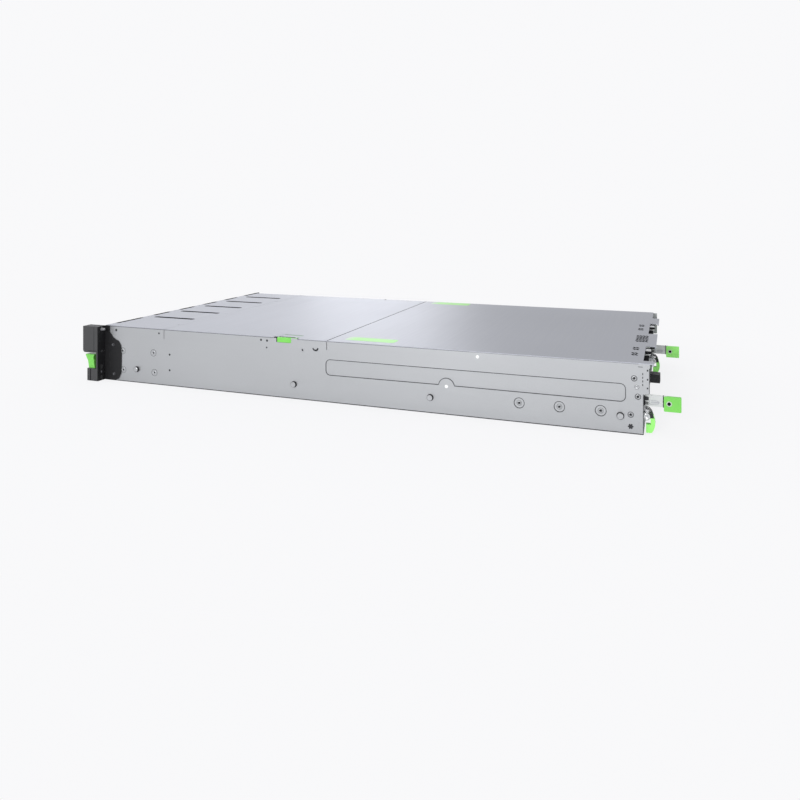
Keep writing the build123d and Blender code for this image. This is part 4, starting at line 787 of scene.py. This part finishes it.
# Power supplies: two steel cases, one above the other, with a wire fan guard, an inlet and a status light.
# Each has a black moulded pull loop and a green spring latch on an upright pin.
supply_sheet = coated_sheet("supply_sheet", (0.53, 0.54, 0.56), 0.38)
psu_x = -185.75
for level, place in enumerate(("lower", "upper")):
    low = 1.5 + 41.8 * level
    middle = low + 20.0
    body = f"supply_{place}"
    dress(supply_sheet, f"psu_{place}")
    dress(bezel_plastic, f"psu_loop_{place}")
    dress(green_plastic, f"psu_latch_{place}")
    guard, inlet, prongs, glass = bare(4)
    for radius in (6.5, 9.8, 13.1, 16.4):
        wire_round = arc((radius, 0), (0.45, 0.45), range(0, 360, 45))
        turned(guard, wire_round, (psu_x - 14, 791.1, middle), rear, 36, True)
    for turn in range(4):
        lean = radians(45 + 90 * turn)
        spoke = [(0, 3.2), (0.55, 3.4), (0.55, 17.4), (0, 17.6)]
        turned(guard, spoke, (psu_x - 14, 790.5, middle), (cos(lean), 0, sin(lean)), 8)
    turned(guard, [(0, 0), (4.2, 0), (4.2, 0.5), (3.6, 0.8), (0, 0.8)], (psu_x - 14, 790.9, middle), rear, 24)
    new_piece(f"supply_guard_{place}", guard, body, bright_turned, True)
    outer = rounded_outline((psu_x + 8.1, psu_x + 23.9), about(middle, 9.9), 2.0)
    inner = rounded_outline((psu_x + 9.6, psu_x + 22.4), about(middle, 8.4), 1.6)
    layered(inlet, [(outer, 780.2), (outer, 792.5), (inner, 792.5), (inner, 782.0)], lambda a, b, h: (a, h, b))
    new_piece(f"supply_inlet_{place}", inlet, body, socket_plastic)
    for dx, dz in ((-3.2, -3.6), (-3.2, 3.6), (3.2, 0.0)):
        left = psu_x + 15.4 + dx
        slab(prongs, (left, left + 1.4), (781.6, 790.8), about(middle + dz, 2.0), 0.3)
    new_piece(f"supply_prongs_{place}", prongs, body, bright_turned)
    turned(glass, [(0, 0), (1.3, 0), (1.3, 0.4), (0.8, 0.6), (0, 0.64)], (psu_x + 29, 792.0, middle + 12), rear, 20)
    new_piece(f"supply_light_{place}", glass, body, light_green, True)
    ribs = bmesh.new()
    slab_row(ribs, 5, (5.2, 0, 0), (psu_x - 26, psu_x - 24.4), (814.5, 817.3), about(middle, 4.4), 0.3)
    new_piece(f"supply_loop_ribs_{place}", ribs, body, bezel_plastic)
    ribs = bmesh.new()
    slab_row(ribs, 4, (0, 2.6, 0), (-153.3, -152.6), (801.5, 802.9), about(middle, 5.2), 0.2)
    new_piece(f"supply_latch_ribs_{place}", ribs, f"supply_latch_{place}", green_plastic)

# Compute tray: a wide folded tray with a rear panel that is pierced for cards, ports and air.
# Screws with pressed washers hold the panel's edge, and a lip stiffens the panel's top.
tray_sheet = coated_sheet("tray_sheet", (0.56, 0.57, 0.58), 0.40)
dress(tray_sheet, "tray_base", "tray_panel")
bm = bmesh.new()
slab(bm, (-146.6, 222.0), (811.5, 814.6), (78.2, 79.2), 0.3)
panel_screw = [(3.0, 0), (3.0, 0.3), (2.4, 0.9), (1.2, 0.9, 0.2), (1.1, 0.3, 0.2), (0, 0.3)]
for x in (-139.0, -20.0, 64.0, 98.0, 219.0):
    for z in (6.2, 74.5):
        turned(bm, panel_screw, (x, 815.0, z), rear, 24)
new_piece("tray_panel_screws", bm, "tray", bright_turned)
bm = bmesh.new()
for low in (106.0, -96.0):
    slab_row(bm, 2, (90.7, 0, 0), (low + 5.4, low + 5.9), (815.0, 815.5), (47.0, 79.0), 0.1)
    slab_row(bm, 2, (0, 0, 15.0), (low + 6, low + 96), (815.0, 815.4), (47.0, 47.6), 0.1)
new_piece("card_bay_frames", bm, "tray", tray_sheet)

# Motherboard: a large green board with two processor sockets, slots for memory and rows of small parts.
# Black chokes and bright capacitors stand beside the processors, and gold pads edge the riser slots.
cpu_x, cpu_y, board_top = (-60.0, 120.0), 520.0, 7.8
board_can = [(2.8, 0), (2.8, 7.0), (2.4, 7.6), (0, 7.6)]
chokes, cans, chips, pads = bare(4)
for x in cpu_x:
    slab_row(chokes, 7, (8, 0, 0), (x - 27, x - 20.6), (457, 464), (board_top, board_top + 5.2), 0.5)
    for step in range(7):
        turned(cans, board_can, (x - 24 + 8 * step, cpu_y + 58, board_top), up, 18)
    slab(chips, (x - 40, x - 26), (626, 640), (board_top, board_top + 1.6), 0.2)
    slab_row(chips, 9, (-3.4, 0, 0), (x + 40, x + 41.8), (628, 632), (board_top, board_top + 0.9), 0.1)
for x in (126.0, -76.0):
    slab_row(pads, 16, (0, 4.6, 0), about(x, 0.95), (654, 656), (18.85, 19.1), 0.05)
slab(chips, (20, 46), (650, 676), (board_top, board_top + 2.2), 0.3)
slab_row(chips, 12, (3.0, 0, 0), (-20, -18.3), (700, 703), (board_top, board_top + 1.0), 0.1)
for x in (60.0, 75.0, 90.0):
    turned(cans, [(4.0, 0), (4.0, 11.0), (3.5, 11.7), (0, 11.7)], (x, 760, board_top), up, 22)
new_piece("board_chokes", chokes, "tray", chip_case)
new_piece("board_capacitors", cans, "tray", can_metal, True)
new_piece("board_chips", chips, "tray", chip_case)
new_piece("riser_slot_pads", pads, "tray", gold_plate)

# Heat sinks: aluminium fin stacks on both processors, pressed down by four sprung screws each.
# Heat pipes run through the fins.
fin_metal = coated_sheet("fin_metal", (0.68, 0.69, 0.71), 0.32, 0.9)
dress(fin_metal, "heatsinks")
screws, pipes = bare(2)
sprung_screw = [(2.0, 0), (2.4, 1.0), (1.8, 2.0), (1.1, 2.0, 0.2), (0, 1.2)]
copper = coated_sheet("copper_pipe", (0.72, 0.38, 0.24), 0.3, 0.95, fine_grain)
for x in cpu_x:
    for y in about(cpu_y, 38):
        for dx in about(0, 28.4):
            turned(screws, sprung_screw, (x + dx, y, 18.9), up, 18)
    for dx in (-17.7, 0.0, 17.7):
        for z in (28.0, 50.0):
            turned(pipes, [(0, 0), (1.35, 0.6), (1.35, 93.0), (0, 94.0)], (x + dx, cpu_y - 47, z), rear, 14)
new_piece("heat_sink_screws", screws, "tray", bright_turned, True)
new_piece("heat_sink_pipes", pipes, "tray", copper, True)

# Memory modules: thin boards that stand in rows beside the processors, with black chips on both faces.
# Pale latches at each end of the sockets hold them down.
memory_board = moulded("memory_board", (0.016, 0.05, 0.03), 0.4, 1400.0, 0.00003)
dress(memory_board, "memory_modules")
chips, latches = bare(2)
for x in cpu_x:
    for side in (-1, 1):
        for place in (41.0, 50.0, 59.0, 68.0):
            dx = x + side * place
            for end in (1, -1):
                chip_x = (dx + end * 1.95, dx + end * 2.7)
                slab_row(chips, 9, (0, 13.6, 0), chip_x, (459, 469.2), (22, 36), 0.15)
                slab(latches, about(dx, 2.2), (cpu_y + end * 66.8, cpu_y + end * 70.2), (12.9, 26.0), 0.5)
new_piece("memory_chips", chips, "tray", chip_case)
new_piece("memory_latches", latches, "tray", moulded("latch_nylon", (0.60, 0.60, 0.57), 0.4))

# Air shroud: a black moulded duct over the processors and memory, with raised ribs along its top.
# Two finger wells help to lift it out.
shroud_plastic = moulded("shroud_plastic", (0.02, 0.02, 0.022), 0.5)
dress(shroud_plastic, "air_shroud")
bm = bmesh.new()
slab_row(bm, 9, (35.5, 0, 0), (-112, -109.8), (440, 605), (79.8, 81.4), 0.4)
slab(bm, (-130, 190), (437, 440), (79.8, 81.2), 0.4)
new_piece("shroud_ribs", bm, "tray", shroud_plastic)
bm = bmesh.new()
for x in (-30.0, 90.0):
    edge = rounded_outline(about(x, 16), (560, 584), 5.0)
    lip = rounded_outline(about(x, 14.5), (561.5, 582.5), 4.0)
    layered(bm, [(edge, 79.8), (edge, 80.8), (lip, 80.8), (rounded_outline(about(x, 14.0), (562, 582), 4.0), 80.1)])
new_piece("shroud_finger_wells", bm, "tray", green_plastic)

# Riser cages: bright sheet boxes that hold two expansion cards each, with a tab under each cover notch.
# Each card is a green board with a black chip block, gold contacts and a steel bracket.
riser_sheet = coated_sheet("riser_sheet", (0.70, 0.71, 0.72), 0.34)
dress(riser_sheet, "riser_cages")
card_board = moulded("card_board", (0.012, 0.075, 0.05), 0.38, 1400.0, 0.00003)
dress(card_board, "expansion_cards")
tabs, chips, brackets, contacts = bare(4)
for low in (106.0, -96.0):
    slab(tabs, (low + 8.0, low + 24.0), (814.0, 823.6), (83.4, 84.6), 0.35)
    slab(tabs, (low + 13.5, low + 18.5), (806.0, 817.0), (83.4, 84.3), 0.3)
    turned(tabs, [(3.0, 0), (3.0, 0.6), (2.4, 1.2), (1.2, 1.2, 0.2), (0, 0.5)], (low + 32.0, 808.0, 83.4), up, 24)
    for row in (0, 1):
        z = 52.5 + 15.0 * row
        slab_row(chips, 7, (4, 0, 0), (low + 60, low + 62.4), (664, 668), (z + 1.6, z + 2.6), 0.1)
        slab(chips, (low + 74, low + 94), (740, 764), (z + 1.6, z + 3.4), 0.2)
        slab(contacts, (low + 22, low + 27), (664, 716), (z + 1.55, z + 1.75), 0.05)
        slab_row(brackets, 11, (7.6, 0, 0), (low + 12, low + 16.6), (813.7, 814.5), (z - 3.0, z + 4.6), 0.3)
new_piece("riser_tabs", tabs, "tray", riser_sheet)
new_piece("card_chips", chips, "tray", chip_case)
new_piece("card_contacts", contacts, "tray", gold_plate)
new_piece("card_bracket_slats", brackets, "tray", riser_sheet)

# Rear ports: four pressed metal shells in the tray panel, each with a black insert and gold springs.
# Two small lights sit above each opening.
dress(bright_turned, "rear_ports")
inserts, springs, glass = bare(3)
for x in (-52.0, -33.0, 68.0, 87.0):
    slab(inserts, (x + 1.4, x + 15.6), (799.1, 800.4), (8.9, 21.8), 0.2)
    slab(inserts, (x + 3.0, x + 14.0), (799.1, 808.0), (9.0, 10.2), 0.2)
    slab_row(springs, 8, (1.15, 0, 0), (x + 4.1, x + 4.6), (800.2, 808.5), (10.2, 10.6), 0.05)
    slab_row(glass, 2, (9.2, 0, 0), (x + 2.6, x + 5.2), (815.0, 815.5), (24.2, 25.6), 0.2)
new_piece("port_inserts", inserts, "tray", socket_plastic)
new_piece("port_springs", springs, "tray", gold_plate)
new_piece("port_lights", glass, "tray", light_green)

# Management module: a bright steel box in its own opening, pulled out by a black grip block.
# The grip has a chamfered root and fine ribs on its end.
dress(drive_sheet, "module_case")
grip_plastic = moulded("grip_plastic", (0.014, 0.014, 0.016), 0.48)
bm = bmesh.new()
slab(bm, (25.2, 38.5), (816.9, 817.5), (12.0, 40.0), 0.2)
for z in (15.0, 37.0):
    turned(bm, [(2.2, 0), (2.2, 0.5), (1.8, 0.9), (0.9, 0.9, 0.2), (0, 0.4)], (32.0, 817.4, z), rear, 20)
new_piece("module_plate", bm, "module", riser_sheet)
bm = bmesh.new()
profile = ((817.0, 26.6), (834.2, 26.6), (834.2, 38.2), (826.0, 38.8), (821.0, 38.8), (817.0, 34.8))
shape = [(40.0, 0.5), (40.5, 0.0), (59.5, 0.0), (60.0, 0.5)]
layered(bm, [
    ([(y + inset * (1 if y < 825 else -1), z + inset * (1 if z < 30 else -1)) for y, z in profile], x)
    for x, inset in shape
], lambda a, b, h: (h, a, b))
new_piece("module_grip_block", bm, "module", grip_plastic, stands_for="module_grip")
bm = bmesh.new()
slab_row(bm, 4, (0, 0, 2.5), (41.5, 58.5), (834.0, 834.6), (28.0, 29.0), 0.15)
slab(bm, (40.8, 59.2), (832.2, 834.5), (37.2, 38.0), 0.3)
new_piece("module_grip_ribs", bm, "module", bezel_plastic)

# Tray handles: flat plated steel strips with a rolled bead round their slot, riveted to the tray panel.
# A moulded green tab is snapped over each end, the left one in a lighter copy of the green that is painted light; a
# spring sits at the root.
handle_steel = coated_sheet("handle_steel", (0.66, 0.68, 0.67), 0.38, 0.7, (60.0, 900.0, 900.0))
# A pale ring of painted highlight round the eye of each tab.
highlight_rim = moulded("tab_rim", (0.55, 0.62, 0.53), 0.4)
# A lighter copy of the green plastic, painted light for the left tab and the lever grips, which lie in shade.
lit_green_plastic = moulded("green_plastic_lit_copy", (0.34, 0.93, 0.2), 0.42)
handle_places = (("right", 212.0), ("left", -126.0))
for hand, body_x in handle_places:
    dress(handle_steel, f"tray_handle_{hand}")
    dress(green_plastic if hand == "right" else lit_green_plastic, f"handle_tab_{hand}")
    bead, root, groove, rim = bare(4)
    for side in (1, -1):
        out = (side, 0, 0)
        slot_line = arc((831, 38), (4.6, 2.4), range(-90, 91, 20)) + [(824.6, 40.4), (824.6, 35.6)]
        side_band(bead, slot_line, (body_x + side * 0.8, side), -0.1, 0.5, 0.75)
        # Dark painted shade in the groove and in each tab's eye.
        slab(groove, (body_x + side * 0.7, body_x + side * 1.25), (839.9, 840.8), (32.8, 47.2), 0.1)
        slab(bead, (body_x, body_x + side * 0.74), (825.7, 836.3), (36.8, 39.2), 0.1)
        slab(root, (body_x + side * 0.9, body_x + side * 3.4), (815.6, 819.6), (34.0, 46.0), 0.5)
        eye = [(2.1, 0), (2.1, 0.45), (3.1, 0.45), (3.3, 0)]
        turned(rim, eye, (body_x + side * 2.45, 847.0, 38.0), out, 28, True)
        disc(groove, 2.2, 0.2, (body_x + side * 2.4, 847.0, 38.0), out)
    slab(root, about(body_x, 5.2), (816.4, 817.6), (29.5, 33.2), 0.3)
    slab(root, (body_x + 1.2, body_x + 2.6), (818.0, 823.5), (40.2, 44.4), 0.4)
    for step in range(5):
        coil = [(0.5, 0), (1.7, 0), (1.7, 0.5), (0.5, 0.5)]
        turned(root, coil, (body_x + 2.6, 818.2 + 1.05 * step, 36.6), rear, 16, True)
    new_piece(f"handle_bead_{hand}", bead, "tray", plate_head)
    new_piece(f"handle_groove_{hand}", groove, "tray", gap_shade)
    new_piece(f"handle_root_{hand}", root, "tray", dark_steel_shade)
    new_piece(f"handle_tab_rim_{hand}", rim, "tray", highlight_rim, True)

# Cam levers: plated steel hubs on a pin between two lugs, each with a curved arm and a moulded green grip.
# Swung back from the panel, they start the tray out of its connectors.
for hand, body_x in handle_places:
    dress(riser_sheet, f"tray_lever_{hand}")
    # The grips take the lighter copy of the green, which is painted light.
    dress(lit_green_plastic, f"lever_grip_{hand}")
    head, arm, ribs = bare(3)
    arm_line = [
        (820.0, 31.6), (824.0, 30.5), (827.0, 27.0), (828.6, 22.0),
        (827.6, 22.0), (826.0, 26.4), (823.4, 29.3), (820.0, 30.2),
    ]
    rivet = [(0, 0), (4.3, 0), (4.3, 0.4), (3.7, 0.8), (2.2, 0.8), (1.9, 0.5), (0, 0.5)]
    for side in (1, -1):
        turned(head, rivet, (body_x + side * 6.05, 821.0, 21.0), (side, 0, 0), 32)
        side_band(arm, arm_line, (body_x + side * 3.9, side), -0.6, 0.0, 0.9)
        # A dark plate of painted shade lies beside each arm's root.
        shade = [(818.6, 19.2), (829.3, 19.2), (829.4, 21.6), (827.8, 24.4), (825.6, 25.0), (820.4, 25.0)]
        layered(arm, [(shade, 4.15), (shade, 4.45)], lambda a, b, h: (body_x + side * h, a, b))
    for y, z in arc((819.3, 13.4), (11.55, 11.9), range(38, -31, -17)):
        slab(ribs, about(body_x, 3.4), (y - 0.7, y + 0.45), about(z, 0.5), 0.2)
    new_piece(f"lever_pivot_head_{hand}", head, "tray", bright_turned, True)
    new_piece(f"lever_arm_{hand}", arm, f"lever_{hand}", dark_steel_shade)
    new_piece(f"lever_grip_ribs_{hand}", ribs, f"lever_{hand}", lit_green_plastic)

# Rack screws: captive plated screws in the upper ear holes, whose turned tips stand behind the flange.
# Rolled threads run along each tip to a blunt point.
thread = [(0, -1.1), (3.3, -1.1), (3.3, -0.1), (2.0, 0.0)]
for step in range(7):
    thread += [(2.1, 0.3 + 0.75 * step), (1.8, 0.62 + 0.75 * step)]
thread += [(1.5, 5.8), (0, 5.95)]
bm = bmesh.new()
for side in (1, -1):
    turned(bm, thread, (side * 232.55, 0, 81.7), rear, 28)
screw_steel = coated_sheet("rack_screw_steel", (0.24, 0.24, 0.25), 0.4, 0.8, fine_grain)
new_piece("rack_screw_threads", bm, "chassis", screw_steel, stands_for="rack_screws")
